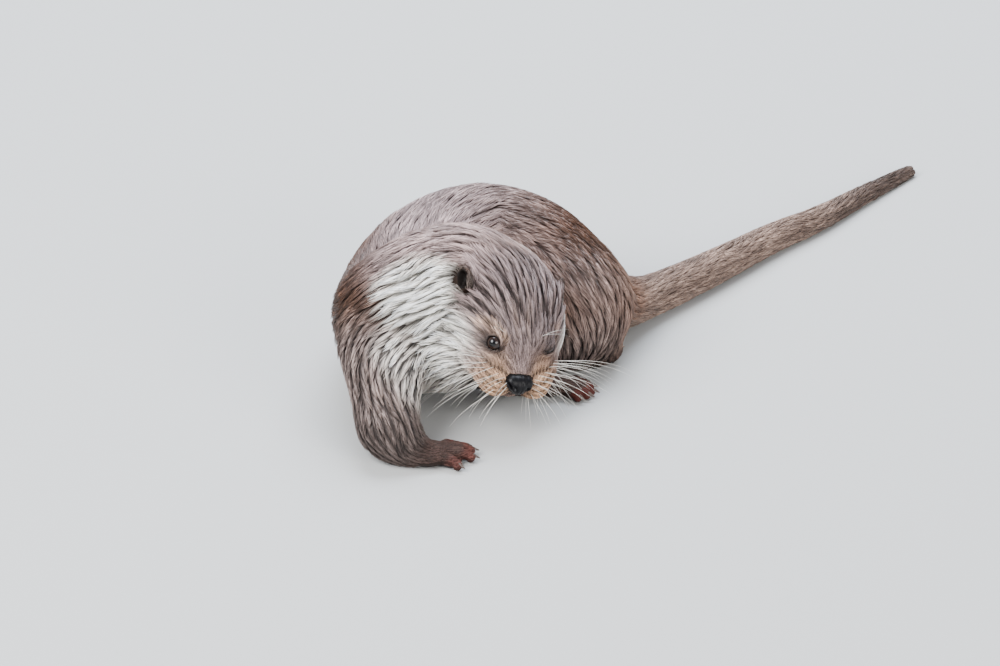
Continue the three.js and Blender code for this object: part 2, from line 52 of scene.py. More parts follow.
# x, y, z and radius in mm, coat included. An otter's leg has an upper and a lower line.
SPINE = [
    (4, 96, 99, 44),
    (-30, 91, 113, 50),
    (-58, 72, 117, 54),
    (-83, 60, 106, 57),
    (-101, 66, 85, 58),
    (-95, 106, 72, 63),
    (-82, 156, 66, 67),
    (-57, 204, 66, 69),
    (-18, 231, 66, 69),
    (22, 214, 64, 67),
    (50, 180, 60, 62),
    (70, 153, 54, 55),
    (98, 176, 41, 34),
]
RUMP_END = 11.75
THROAT = [(-84, 44, 64, 46), (-44, 36, 61, 36), (-14, 44, 68, 31)]
TAIL = [
    (70, 153, 54, 55),
    (98, 176, 41, 34),
    (120, 200, 28, 27),
    (143, 226, 20, 22.5),
    (182, 265, 17.5, 20.5),
    (226, 313, 15.5, 18.5),
    (271, 364, 13.5, 16.5),
    (318, 410, 11, 14),
    (366, 468, 8, 10.8),
    (422, 533, 4.6, 6.8),
]
LEGS = {
    "fore_right": [
        [(-106, 30, 70, 47), (-107, -14, 56, 35), (-104, -52, 32, 29)],
        [(-104, -53, 30, 28), (-93, -61, 20, 20), (-80, -67, 14, 14.5)],
    ],
    "fore_left": [
        [(-58, 50, 68, 46), (-32, 58, 50, 34), (-10, 64, 34, 25)],
        [(-10, 64, 33, 24), (10, 67, 21, 18), (30, 68, 14, 14)],
    ],
    "hind_left": [
        [(80, 148, 54, 46), (78, 132, 43, 43), (64, 118, 34, 33)],
        [(64, 118, 30, 26), (82, 124, 22, 18), (102, 132, 14, 13)],
    ],
    "hind_right": [
        [(76, 178, 54, 45), (68, 215, 45, 39), (54, 250, 34, 29)],
        [(54, 250, 33, 27), (84, 243, 23, 18), (104, 231, 15, 13)],
    ],
}
FORE_TOES = {"lengths": [16, 20, 22, 21, 17], "base": 11, "tip": 5.2}
HIND_TOES = {"lengths": [26, 34, 37, 36, 30], "base": 14, "tip": 5.8}
# Headings and the toes' spread are in degrees.
PAW_PARTS = ("wrist", "palm", "heading", "spread", "half", "toes")
PAWS = {
    "fore_right": [(-80, -67, 14), (-66, -66, 9), 12, [62, 30, 8, -22, -74], (20, 18, 11), FORE_TOES],
    "fore_left": [(30, 68, 14), (46, 67, 9), -8, [-44, -22, -2, 20, 46], (20, 17, 11), FORE_TOES],
    "hind_left": [(104, 133, 13), (70, 126, 9), 188, [40, 20, 2, -17, -38], (33, 19, 11), HIND_TOES],
    "hind_right": [(106, 230, 14), (75, 250, 9), 148, [-40, -20, -2, 17, 38], (33, 19, 11), HIND_TOES],
}
PAWS = {name: dict(zip(PAW_PARTS, values)) for name, values in PAWS.items()}

# The head's frame: the origin is the tip of the nose, x to the otter's left, y forward, z to the crown.
HEAD = {"nose": (18, -19, 50), "heading": -82.5, "pitch": -38, "roll": 20, "scale": 1.06}
EYE_AT = (25, -38.5, 11.5)
EYE_RADIUS = 7
EARS_AT = {1: (45.5, -95, 12), -1: (-50, -95, 16.5)}
NOSE_AT = (0, -5.5, 0)

# Distances between the rows of whiskers, and between whiskers in a row.
PAD_ROW = 3.3
PAD_COLUMN = 3.4
# Height under which no whiskers grow, and their root radius on the pads and over the eyes.
PAD_BOTTOM = -16
PAD_HAIR = 0.23
BROW_HAIR = 0.11

# Flesh of the head: centre, half sizes, and the depth of the coat over it. What lies to one side is mirrored.
SKULL = [
    ((0, -84, 0), (52.5, 44, 33), 3.4),
    ((0, -52, 1), (35, 31, 22), 2.2),
    ((0, -25, -1.5), (17.5, 21, 12.5), 1.0),
    ((17.5, -14, -9), (17.5, 16.5, 12), 0.8),
    ((24.5, -33, -9), (20, 23, 16.5), 1.4),
    ((27, -64, -9), (27.5, 34, 26), 3.4),
    ((21, -46, 13.5), (10.5, 12, 8), 1.4),
    ((0, -100, -8), (46, 38, 40), 5.0),
    ((0, -18, -21.5), (13, 15, 8.5), 1.2),
    ((0, -40, -23), (22, 28, 13), 2.0),
    ((0, -70, -26), (30, 34, 20), 3.4),
]

# The blocks of the head's frame that hold the whole head, and the face.
HEAD_BLOCK = ((-56, 56), (-142, 6), (-54, 38))
FACE_BLOCK = ((-40, 40), (-72, 4), (-34, 27))

# Depth of the coat over the rest of the body.
TRUNK_COAT = 6.0
TAIL_COAT = 3.4
UPPER_LEG_COAT = 4.0
LOWER_LEG_COAT = 1.6
PAW_COAT = 0.7

# The grids that the skin is worked out on, and the height of the soles over the floor.
BODY_CELL = 2.6
BODY_LOW = np.array([-190.0, -125.0, -8.0])
BODY_HIGH = np.array([445.0, 555.0, 185.0])
FINE_CELL = 0.75
SOLE = 0.25

# ---------------------------------------------------------------- frames


def unit(v):
    v = np.asarray(v, float)
    return v / np.maximum(np.linalg.norm(v, axis=-1, keepdims=True), 1e-9)


def head_axes():
    """The directions of the head's own x, y and z in the body's frame."""
    heading, pitch, roll = (math.radians(HEAD[k]) for k in ("heading", "pitch", "roll"))
    forward = np.array(
        [math.cos(pitch) * math.cos(heading), math.cos(pitch) * math.sin(heading), math.sin(pitch)]
    )
    level_left = unit(np.cross([0, 0, 1], forward))
    level_up = np.cross(forward, level_left)
    up = level_up * math.cos(roll) + level_left * math.sin(roll)
    left = level_left * math.cos(roll) - level_up * math.sin(roll)
    return np.array([left, forward, up])


HEAD_AXES = head_axes()
HEAD_ORIGIN = np.array(HEAD["nose"], float)
SCALE = HEAD["scale"]


def from_head(q):
    return HEAD_ORIGIN + SCALE * (np.asarray(q, float) @ HEAD_AXES)


def to_head(p):
    return (np.asarray(p, float) - HEAD_ORIGIN) @ HEAD_AXES.T / SCALE


def head_way(q):
    return np.asarray(q, float) @ HEAD_AXES


nose_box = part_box("nose")
SHIFT = np.array((nose_box[0] + nose_box[1]) / 2) * 1000 - from_head(NOSE_AT)
SHIFT[2] = 0


def to_model(p):
    return (np.asarray(p, float) + SHIFT) / 1000


# ---------------------------------------------------------------- distance fields


def smooth_min(a, b, blend):
    overlap = np.maximum(blend - np.abs(a - b), 0) / blend
    return np.minimum(a, b) - overlap * overlap * blend / 4


def step(x, low, high):
    """0 below low, 1 above high, and a smooth rise between."""
    t = np.clip((x - low) / (high - low), 0, 1)
    return t * t * (3 - 2 * t)


def smooth_max(a, b, blend):
    return -smooth_min(-a, -b, blend)


def hump(*offsets):
    """1 where all the offsets are 0, and less round there."""
    return np.exp(-sum(offset**2 for offset in offsets))


def spline_piece(x0, x1, x2, x3, t, steps):
    """A point of a Catmull-Rom curve between x1 and x2."""
    d0, d1, d2 = steps
    t1 = ((x1 - x0) / d0 - (x2 - x0) / (d0 + d1) + (x2 - x1) / d1) * d1
    t2 = ((x2 - x1) / d1 - (x3 - x1) / (d1 + d2) + (x3 - x2) / d2) * d1
    return x1 + t1 * t + (-3 * x1 + 3 * x2 - 2 * t1 - t2) * t * t + (2 * x1 - 2 * x2 + t1 + t2) * t**3


def centre_line(stations, first, last, count):
    """Points and radii at even steps along a smooth line through stations."""
    s = np.array(stations, float)
    s = np.vstack([2 * s[0] - s[1], s, 2 * s[-1] - s[-2]])
    line = []
    for k in range(count + 1):
        station = first + (last - first) * k / count
        i = int(min(max(math.floor(station), 0), len(stations) - 2))
        t = station - i
        four = s[i : i + 4]
        steps = [max(np.linalg.norm(b[:3] - a[:3]) ** 0.5, 1e-4) for a, b in zip(four, four[1:])]
        place = spline_piece(*four[:, :3], t, steps)
        r0, r1, r2, r3 = four[:, 3]
        a, b = (r2 - r0) / 2, (r3 - r1) / 2
        radius = r1 + a * t + (-3 * r1 + 3 * r2 - 2 * a - b) * t * t + (2 * r1 - 2 * r2 + a + b) * t**3
        line.append(np.append(place, radius))
    return np.array(line)


def capsule(p, a, b, ra, rb):
    """Distance to a tapered capsule, and the share of its length at which each point lies."""
    a, b = np.array(a, float), np.array(b, float)
    along = b - a
    t = np.clip(((p - a) @ along) / (along @ along), 0, 1)
    rest = p - a - t[..., None] * along
    return np.sqrt((rest * rest).sum(-1)) - (ra + (rb - ra) * t), t


class Bones:
    """Tapered capsules end to end along a centre line, with the coat's depth over them."""

    def __init__(self, stations, first, last, count, coat, coat_share=1.0):
        self.points = centre_line(stations, first, last, count)
        self.coat = np.minimum(coat, self.points[:, 3] * coat_share)
        steps = np.linalg.norm(np.diff(self.points[:, :3], axis=0), axis=1)
        self.length = np.concatenate([[0], np.cumsum(steps)])

    def boxes(self, margin):
        for i in range(len(self.points) - 1):
            pair = self.points[i : i + 2]
            reach = pair[:, 3].max() + margin
            yield i, pair[:, :3].min(0) - reach, pair[:, :3].max(0) + reach

    def piece(self, i, p, inner):
        a, b = self.points[i], self.points[i + 1]
        shrink = self.coat if inner else self.coat * 0
        return capsule(p, a[:3], b[:3], a[3] - shrink[i], b[3] - shrink[i + 1])

    def nearest(self, p):
        """Distance to the coated line, the length along it, and its direction and middle there."""
        best = np.full(len(p), 1e9)
        where = np.zeros(len(p))
        way = np.zeros((len(p), 3))
        middle = np.zeros((len(p), 3))
        for i in range(len(self.points) - 1):
            d, t = self.piece(i, p, False)
            closer = d < best
            best[closer] = d[closer]
            where[closer] = (self.length[i] + t * (self.length[i + 1] - self.length[i]))[closer]
            along = self.points[i + 1, :3] - self.points[i, :3]
            way[closer] = unit(along)
            middle[closer] = (self.points[i, :3] + t[:, None] * along)[closer]
        return best, where, way, middle


def ellipsoid(q, centre, half):
    """About the distance to an ellipsoid."""
    scaled = (q - np.array(centre, float)) / half
    reach = np.sqrt((scaled * scaled).sum(-1))
    slope = np.sqrt(((scaled / half) ** 2).sum(-1))
    return np.where(slope > 1e-9, reach * (reach - 1) / np.maximum(slope, 1e-9), -min(half))


trunk = Bones(SPINE, 0, RUMP_END, 60, TRUNK_COAT)
throat = Bones(THROAT, 0, 2, 10, TRUNK_COAT)
tail = Bones(TAIL, 0.6, 9, 44, TAIL_COAT, 0.2)
upper_legs = {name: Bones(leg[0], 0, 2, 8, UPPER_LEG_COAT) for name, leg in LEGS.items()}
lower_legs = {name: Bones(leg[1], 0, 2, 8, LOWER_LEG_COAT) for name, leg in LEGS.items()}
BODY_LINES = {"trunk": [trunk], "throat": [throat], "tail": [tail]}


def flat_way(degrees):
    return np.array([math.cos(math.radians(degrees)), math.sin(math.radians(degrees)), 0.0])


def toes_of(paw):
    """Root, joint, end and direction of each toe of a paw."""
    toes = paw["toes"]
    knuckles = np.array(paw["palm"], float) + flat_way(paw["heading"]) * paw["half"][0] * 0.45
    found = []
    for angle, length in zip(paw["spread"], toes["lengths"]):
        way = flat_way(paw["heading"] + angle * 0.62)
        root = knuckles + flat_way(paw["heading"] + angle * 1.05) * toes["base"] * 0.85
        joint = root + way * length * 0.55
        end = root + way * length
        root[2], joint[2], end[2] = 9, 9.5, toes["tip"] + 0.6
        found.append((root, joint, end, way))
    return found


def paw_field(p, paw, coat):
    """The palm, toes and webs of a paw. Each toe swells at its knuckle and its end pad."""
    toes = paw["toes"]
    way = flat_way(paw["heading"])
    axes = np.array([way, [-way[1], way[0], 0], [0, 0, 1]])
    q = (p - np.array(paw["palm"], float)) @ axes.T
    half = np.array(paw["half"], float) - coat
    d = ellipsoid(q, (0, 0, 0), half)
    d = smooth_min(d, capsule(p, paw["wrist"], paw["palm"], 13.2 - coat, 10 - coat)[0], 5)
    fan = toes_of(paw)
    for (root, joint, end, _), (root_b, joint_b, _, _) in zip(fan, fan[1:]):
        middle = (root + joint + root_b + joint_b) / 4
        middle[2] = 4.2
        reach = np.linalg.norm(joint - joint_b) / 2 + 3
        web = ellipsoid((p - middle) @ axes.T, (0, 0, 0), (reach, reach, 3.2))
        d = smooth_min(d, web, 3)
    for root, joint, end, _ in fan:
        thick = toes["tip"] - coat
        d = smooth_min(d, capsule(p, root, joint, thick + 0.5, thick - 0.4)[0], 3)
        d = smooth_min(d, capsule(p, joint, end, thick - 0.4, thick - 0.6)[0], 1.5)
        pad = end - [0, 0, 1.2]
        d = smooth_min(d, np.sqrt(((p - pad) ** 2).sum(-1)) - thick + 0.4, 1.5)
    return d


def head_field(p, inner=True):
    q = to_head(p)
    d = None
    for (x, y, z), half, coat in SKULL:
        size = np.array(half, float) - (coat / SCALE if inner else 0)
        for own_x in (x, -x) if x else (x,):
            part = ellipsoid(q, (own_x, y, z), size) * SCALE
            d = part if d is None else smooth_min(d, part, 8)
    return d


# ---------------------------------------------------------------- grids


class Grid:
    """Values on a cubic grid, read between its points."""

    def __init__(self, low, high, cell):
        self.low = np.array(low, float)
        self.cell = cell
        self.count = np.ceil((np.array(high) - low) / cell).astype(int) + 1
        self.values = np.full(self.count, 30.0, np.float32)
        self.slopes = None

    def window(self, low, high):
        a = np.clip(np.floor((low - self.low) / self.cell).astype(int), 0, self.count)
        b = np.clip(np.ceil((high - self.low) / self.cell).astype(int) + 1, 0, self.count)
        axes = [self.low[i] + self.cell * np.arange(a[i], b[i]) for i in range(3)]
        points = np.stack(np.meshgrid(*axes, indexing="ij"), -1)
        return tuple(slice(i, j) for i, j in zip(a, b)), points

    def join(self, low, high, field, blend):
        where, points = self.window(low, high)
        if points.size:
            self.values[where] = smooth_min(self.values[where], field(points), blend)

    def read(self, p, slopes=False):
        g = np.clip((p - self.low) / self.cell, 0, self.count - 1.001)
        i = g.astype(int)
        f = (g - i).astype(np.float32)
        if slopes and self.slopes is None:
            self.slopes = np.stack(np.gradient(self.values, self.cell), -1)
        source = self.slopes if slopes else self.values
        total = 0
        for corner in np.ndindex(2, 2, 2):
            x, y, z = (f[:, k] if corner[k] else 1 - f[:, k] for k in range(3))
            share = x * y * z
            total = total + (share[:, None] if slopes else share) * source[tuple((i + corner).T)]
        return total


def lay_flesh():
    """The skin's field on a coarse grid: trunk, throat, tail and legs, without the head, ears and paws."""
    grid = Grid(BODY_LOW, BODY_HIGH, BODY_CELL)
    other = Grid(BODY_LOW, BODY_HIGH, BODY_CELL)

    def lay_bones(bones, target, blend):
        for i, low, high in bones.boxes(12):
            target.join(low, high, lambda p: bones.piece(i, p, True)[0], blend)

    def merge(blend):
        grid.values[...] = smooth_min(grid.values, other.values, blend)
        other.values[...] = 30

    lay_bones(trunk, grid, 1)
    lay_bones(throat, other, 1)
    merge(16)
    lay_bones(tail, other, 1)
    merge(3)
    for name in LEGS:
        lay_bones(upper_legs[name], other, 2)
        lay_bones(lower_legs[name], other, 6)
        merge(12)
    return grid


def local_parts():
    """The head, ears and paws: limits, field and blend of each."""
    parts = [(*head_box(*HEAD_BLOCK, 12), head_field, 12)]
    for side in (-1, 1):
        centre = ear_frame(side)[0]
        parts.append((centre - 26, centre + 26, lambda p, side=side: ear_field(p, side, True), 3))
    for paw in PAWS.values():
        low, high = paw_limits(paw, 22)
        parts.append((low, high, lambda p, paw=paw: paw_field(p, paw, PAW_COAT), 5))
    return parts


def paw_limits(paw, margin):
    points = np.array([t[k] for t in toes_of(paw) for k in (0, 2)] + [paw["wrist"], paw["palm"]], float)
    low, high = points.min(0) - margin, points.max(0) + margin
    low[2] = -4
    return low, high


def head_box(xs, ys, zs, margin=0):
    """Limits of a block of the head's frame, in the body's."""
    corners = [from_head((x, y, z)) for x in xs for y in ys for z in zs]
    return np.min(corners, 0) - margin, np.max(corners, 0) + margin


def ear_frame(side):
    """Middle of an ear, and its axes: across it, out of its cup, and back along the head to its tip."""
    outward = unit(head_way((side * 0.083, -0.91, 0.406)))
    across = unit(np.cross(outward, head_way((side * 0.857, 0.239, 0.362))))
    return from_head(EARS_AT[side]), across, unit(np.cross(across, outward)), outward


def in_ear(p, side):
    """Points in an ear's own axes."""
    centre, across, front, outward = ear_frame(side)
    return (p - centre) @ np.array([across, front, outward]).T


def ear_field(p, side, inner):
    """A small round ear, like a shallow cup with a thick rim."""
    q = in_ear(p, side)
    size = np.array((8, 5, 11.5)) * SCALE - (0.7 if inner else 0)
    d = ellipsoid(q, (0, 0, 0), size)
    if inner:
        cup = ellipsoid(q, (0.4, 5.5, -0.6), (5.9, 8.0, 8.8))
        ridge = ellipsoid(q, (1.5, 1.5, -3.5), (1.6, 2.2, 4.5))
        d = smooth_min(smooth_max(d, -cup, 1.0), ridge, 1.5)
    return d


def over_ear(p, side, size):
    """Whether points lie over an ear, within an oval of a size."""
    q = in_ear(p, side)
    return (np.hypot(q[..., 0] / size[0], q[..., 2] / size[1]) < 1) & (np.abs(q[..., 1] - 4) < 9)


# ---------------------------------------------------------------- the head in detail


def eye_frame(side):
    """Middle of an eyeball, and the directions along its slit, across it and out of the head."""
    centre = from_head((side * EYE_AT[0], EYE_AT[1], EYE_AT[2]))
    out = unit(head_way((side * 0.62, 0.42, 0.66)))
    along = head_way((side * 0.62, -0.72, 0.08))
    along = unit(along - out * (along @ out))
    return centre, along, unit(np.cross(out, along)), out


def in_eye(p, side):
    """Points in an eye's own axes."""
    centre, along, across, out = eye_frame(side)
    return (p - centre) @ np.array([along, across, out]).T


def eye_gap(u, v):
    """Distance outside the opening between the lids of the open eye, which narrows to its corners."""
    return np.abs(v + 0.2) - 5.5 * (1 - np.minimum(np.abs(u) / 7.2, 1.4) ** 2.4)


def closed_slit(u, v):
    """Distance from the line where the lids of the closed eye meet."""
    return np.maximum(np.abs(v + 0.9 - 0.03 * u * u), (np.abs(u) - 6.5) * 0.6)


def detailed_head(p, base):
    """Adds the lids, lips, philtrum and pads to the skin's field round the face."""
    q = to_head(p)
    x, y, z = q[..., 0], q[..., 1], q[..., 2]
    d = base
    for side in (-1, 1):
        r = in_eye(p, side)
        u, v, w = r[..., 0], r[..., 1], r[..., 2]
        lids = np.sqrt((r * r).sum(-1)) - (EYE_RADIUS * SCALE + 0.75)
        d = smooth_min(d, lids, 3.2)
        fold = np.abs(np.sqrt((u / 1.22) ** 2 + v**2 + (w - 2) ** 2) - 9.4)
        d = d + 0.5 * hump(fold / 1.1) * (w > 0)
        if side < 0:
            d = smooth_max(d, -np.maximum(eye_gap(u, v), 2.5 - w), 0.7)
        else:
            d = d + 1.5 * hump(closed_slit(u, v) / 0.6) * (w > 2)
            d = d - 0.7 * hump((v - 2.2) / 1.3, u / 7) * (w > 2)
            d = d - 0.6 * hump((v + 3.0) / 1.2, u / 6) * (w > 2)
    d = d + 1.6 * (hump(x / 1.1) * hump((z + 12) / 5) * (y > -14))
    mouth = z + 18.0 + 0.018 * (y + 10) - 0.0035 * (y + 20) ** 2 * 0.15
    d = d + 2.0 * hump(mouth / 1.2) * (y > -46)
    rows = np.cos((0.5 - z) * 2 * math.pi / PAD_ROW)
    return d + 0.22 * rows * hump((np.abs(x) - 17) / 9, (y + 14) / 11, (z + 8) / 9)


def nose_field(p):
    """The nose leather: a rounded pad with two nostrils that open forwards and sideways in a comma."""
    q = to_head(p) - np.array(NOSE_AT)
    x, y, z = q[..., 0], q[..., 1], q[..., 2]
    m = np.stack([np.abs(x), y, z], -1)
    d = ellipsoid(q, (0, -0.5, 0.2), (8.6, 9.6, 8.8))
    d = smooth_min(d, ellipsoid(m, (7.2, -1.0, 1.6), (5.4, 7.2, 6.0)), 2.0)
    d = smooth_min(d, ellipsoid(q, (0, 0.2, -5.2), (7.0, 7.0, 4.2)), 2.5)
    hole = ellipsoid(m, (6.3, 6.4, 2.6), (2.7, 4.2, 2.5))
    comma = ellipsoid(m, (10.6, 3.2, 3.4), (3.8, 3.6, 1.4))
    d = smooth_max(d, -smooth_min(hole, comma, 1.5), 0.8)
    groove = hump(x / 0.8) * step(y, 0, 4)
    top = hump(x / 2.2) * step(z, 3, 8)
    return (d + 0.6 * groove + 0.5 * top) * SCALE


# ---------------------------------------------------------------- meshes


def mesh_object(name, vertices, faces):
    """A mesh piece from arrays of vertices in mm and faces of one size."""
    faces = np.asarray(faces, np.int32)
    corners = faces.shape[1]
    mesh = bpy.data.meshes.new(name)
    mesh.vertices.add(len(vertices))
    mesh.vertices.foreach_set("co", to_model(vertices).astype(np.float32).ravel())
    mesh.loops.add(faces.size)
    mesh.loops.foreach_set("vertex_index", faces.ravel())
    mesh.polygons.add(len(faces))
    mesh.polygons.foreach_set("loop_start", np.arange(0, faces.size, corners, dtype=np.int32))
    mesh.polygons.foreach_set("loop_total", np.full(len(faces), corners, np.int32))
    mesh.polygons.foreach_set("use_smooth", np.ones(len(faces), bool))
    mesh.update(calc_edges=True)
    piece = bpy.data.objects.new(name, mesh)
    bpy.context.collection.objects.link(piece)
    return piece


def surface_of(values, low, cell):
    """Quads of the surface where a dense grid's values are zero, turned outwards."""
    grid = openvdb.FloatGrid(30.0)
    grid.copyFromArray(np.ascontiguousarray(values, np.float32))
    points, quads = grid.convertToQuads(0.0)
    points = np.array(points, float) * cell + low
    quads = np.array(quads, int)
    a, b, c = (points[quads[:, i]] for i in range(3))
    volume = (a * np.cross(b, c)).sum()
    return points, quads if volume > 0 else quads[:, ::-1]


def split_quads(points, quads, marked):
    """Marked quads in four. A quad beside one is cut into triangles so that no edge is left open."""
    count = len(points)
    ends = np.sort(np.stack([quads, np.roll(quads, -1, axis=1)], -1), -1)
    edges = ends[..., 0].astype(np.int64) * (count + 1) + ends[..., 1]
    halved = np.unique(edges[marked])
    middles = (points[halved // (count + 1)] + points[halved % (count + 1)]) / 2
    middle_of = dict(zip(halved.tolist(), range(count, count + len(halved))))
    whole = quads[marked]
    mids = np.searchsorted(halved, edges[marked]) + count
    centre = count + len(halved) + np.arange(len(whole))
    fours = [np.stack([whole[:, i], mids[:, i], centre, mids[:, i - 1]], 1) for i in range(4)]
    touched = np.isin(edges, halved).any(1) & ~marked
    threes = []
    for quad, sides in zip(quads[touched].tolist(), edges[touched].tolist()):
        ring = []
        for corner, side in zip(quad, sides):
            ring.append(corner)
            if side in middle_of:
                ring.append(middle_of[side])
        start = next(i for i, corner in enumerate(ring) if corner not in quad)
        ring = ring[start:] + ring[:start]
        threes += [(ring[0], a, b) for a, b in zip(ring[1:], ring[2:])]
    plain = quads[~marked & ~touched]
    return np.vstack([points, middles, points[whole].mean(1)]), np.vstack([plain, *fours]), threes


def above_ground(p, d):
    """Flat soles and belly, just above the floor."""
    return smooth_max(d, SOLE - p[..., 2], 1.0)


class Skin:
    """The skin's field: a coarse grid with finer ones over the face, the ears and the paws."""

    def __init__(self):
        rest = lay_flesh()
        parts = local_parts()
        self.coarse = Grid(BODY_LOW, BODY_HIGH, BODY_CELL)
        self.coarse.values[...] = rest.values
        for low, high, field, blend in parts:
            self.coarse.join(low, high, field, blend)
        heights = BODY_LOW[2] + BODY_CELL * np.arange(self.coarse.values.shape[2])
        below = np.broadcast_to(SOLE - heights, self.coarse.values.shape)
        self.coarse.values = smooth_max(self.coarse.values, below, 1.0).astype(np.float32)
        self.fine = []
        windows = [head_box(*FACE_BLOCK)]
        windows += [(ear_frame(side)[0] - 15, ear_frame(side)[0] + 15) for side in (-1, 1)]
        windows += [paw_limits(paw, 9) for paw in PAWS.values()]
        for low, high in windows:
            self.fine.append(self.patch(rest, parts, low, high))

    def patch(self, rest, parts, low, high):
        grid = Grid(low, high, FINE_CELL)
        _, points = grid.window(low, high)
        shape = points.shape[:3]
        flat = points.reshape(-1, 3)
        coarse = self.coarse.read(flat)
        near = np.abs(coarse) < 5
        p = flat[near]
        d = rest.read(p)
        for part_low, part_high, field, blend in parts:
            if (part_low < high).all() and (part_high > low).all():
                d = smooth_min(d, field(p), blend)
        q = to_head(p)
        ahead = (q[:, 1] > -75) & (np.abs(q[:, 0]) < 45) & (np.abs(q[:, 2]) < 45)
        if ahead.any():
            d[ahead] = detailed_head(p[ahead], d[ahead])
        coarse[near] = above_ground(p, d)
        grid.values = coarse.reshape(shape).astype(np.float32)
        return grid

    def read(self, p, slopes=False):
        found = self.coarse.read(p, slopes)
        for grid in self.fine:
            low = grid.low + grid.cell
            high = grid.low + (np.array(grid.values.shape) - 2) * grid.cell
            inside = ((p > low) & (p < high)).all(1)
            if inside.any():
                found[inside] = grid.read(p[inside], slopes)
        return found

    def slope(self, p):
        return self.read(p, True)

    def normal(self, p):
        return unit(self.slope(p))

    def onto(self, points, steps=3, limit=1.5):
        """Points moved along the field's slope to where it is zero."""
        for _ in range(steps):
            slope = self.slope(points)
            length = np.maximum(np.linalg.norm(slope, axis=1), 0.3)
            move = np.clip(self.read(points) / length, -limit, limit)
            points = points - slope / length[:, None] * move[:, None]
        return points


skin_field = Skin()


def skin_mesh():
    """Points and triangles of the skin, in finer steps over the paws and finest over the face and ears."""
    points, quads = surface_of(skin_field.coarse.values, BODY_LOW, BODY_CELL)
    threes = []
    for depth, grids in enumerate([skin_field.fine, skin_field.fine[:3]]):
        middle = points[quads].mean(1)
        marked = np.zeros(len(quads), bool)
        for grid in grids:
            low = grid.low + 3 + depth * 2
            high = grid.low + np.array(grid.values.shape) * grid.cell - 3 - depth * 2
            marked |= ((middle > low) & (middle < high)).all(1)
        points, quads, more = split_quads(points, quads, marked)
        threes += more
        points = skin_field.onto(points)
    triangles = np.vstack([quads[:, [0, 1, 2]], quads[:, [0, 2, 3]], np.array(threes)])
    return points, triangles


# ---------------------------------------------------------------- regions, lie of the coat and markings

REGIONS = ["trunk", "throat", "tail", "head", "ear", "upper_leg", "lower_leg", "paw"]
INDEX = {region: k for k, region in enumerate(REGIONS)}
# Distance over which regions run into one another, and powers that widen their hold on the coat's lie.
REGION_BLEND = 7
LIE_POWERS = np.array([0.4, 0.4, 1, 0.4, 1, 0.7, 1, 1])
# How much nearer an ear counts as than what it stands on, in mm.
EAR_HOLD = 12


def paw_distance(p, paw):
    points = np.array([paw["wrist"], paw["palm"]] + [t[2] for t in toes_of(paw)], float)
    reach = np.array([11, 17] + [9] * 5)
    return np.min([np.linalg.norm(p - a, axis=1) - r for a, r in zip(points, reach)], 0)


def head_lie(p):
    """Directions in which the head's coat lies: from the nose backwards, spreading from between the eyes."""
    q = to_head(p)
    way = q - np.array([0, 8.0, -3.0])
    way[:, 1] -= 6 + 0.25 * np.maximum(-q[:, 1], 0)
    way[:, 0] *= 0.8
    cheek = np.clip((np.abs(q[:, 0]) - 18) / 20, 0, 1) * np.clip((-q[:, 1] - 30) / 40, 0, 1)
    way = unit(unit(way) + np.array([0, 0, -0.35]) * cheek[:, None])
    off = q - np.array([-EYE_AT[0], EYE_AT[1], EYE_AT[2]])
    r = np.linalg.norm(off, axis=1)
    way = head_way(unit(way + unit(off) * (2.4 * hump((r - 7) / 4))[:, None]))
    centre, along, _, _ = eye_frame(1)
    near = np.exp(-((np.linalg.norm(p - centre, axis=1) / 12) ** 4))
    return unit(way + along * (1.6 * near)[:, None])


def survey(p):
    """Weights of the regions at each point, and the direction in which the coat lies there."""
    distance = np.full((len(p), len(REGIONS)), 1e3)
    lie = np.zeros((len(p), len(REGIONS), 3))

    def claim(region, d, way):
        k = INDEX[region]
        closer = d < distance[:, k]
        distance[closer, k] = d[closer]
        lie[closer, k] = np.broadcast_to(way, (len(p), 3))[closer]

    lines = {**BODY_LINES, "upper_leg": upper_legs.values(), "lower_leg": lower_legs.values()}
    for region, own in lines.items():
        for line in own:
            d, _, way, _ = line.nearest(p)
            claim(region, d, -way if region == "throat" else way)
    claim("head", head_field(p, False), head_lie(p))
    for side in (-1, 1):
        _, across, _, outward = ear_frame(side)
        d = ear_field(p, side, False) - 1
        on_ear = over_ear(p, side, (9, 12.5)) & (np.abs(ear_field(p, side, True)) < 1.6)
        d = np.where(on_ear, np.minimum(distance.min(1), d) - EAR_HOLD, d)
        claim("ear", d, unit(outward + in_ear(p, side)[:, [0]] * across / 6))
    for paw in PAWS.values():
        claim("paw", paw_distance(p, paw) - 2, flat_way(paw["heading"]))
    weights = np.exp(-(distance - distance.min(1, keepdims=True)) / REGION_BLEND)
    weights[:, INDEX["paw"]] **= 2.5
    weights[:, INDEX["ear"]] **= 1.5
    wide = weights**LIE_POWERS
    weights /= weights.sum(1, keepdims=True)
    return weights, unit((wide[:, :, None] * lie).sum(1))


def srgb(r, g, b):
    c = np.array([r, g, b], float) / 255
    return np.where(c <= 0.04045, c / 12.92, ((c + 0.055) / 1.055) ** 2.4)


BACK = srgb(116, 94, 85)
FLANK = srgb(106, 68, 44)
# Painted sheen: the cool grey that fur facing up is painted with, for the sky's reflection on wet fur.
PAINTED_SHEEN = srgb(151, 132, 129)
CROWN = srgb(120, 103, 100)
CREAM = srgb(250, 244, 234)
THROAT_FUR = srgb(196, 188, 180)
TAN = srgb(236, 188, 148)
BRIDGE = srgb(144, 124, 120)
BELLY = srgb(146, 128, 112)
LEG = srgb(130, 114, 108)
TAIL_FUR = srgb(130, 108, 96)
PAW_FUR = srgb(74, 56, 50)
WEB = srgb(140, 70, 60)
EAR_DARK = srgb(52, 37, 29)
LID = srgb(34, 26, 24)


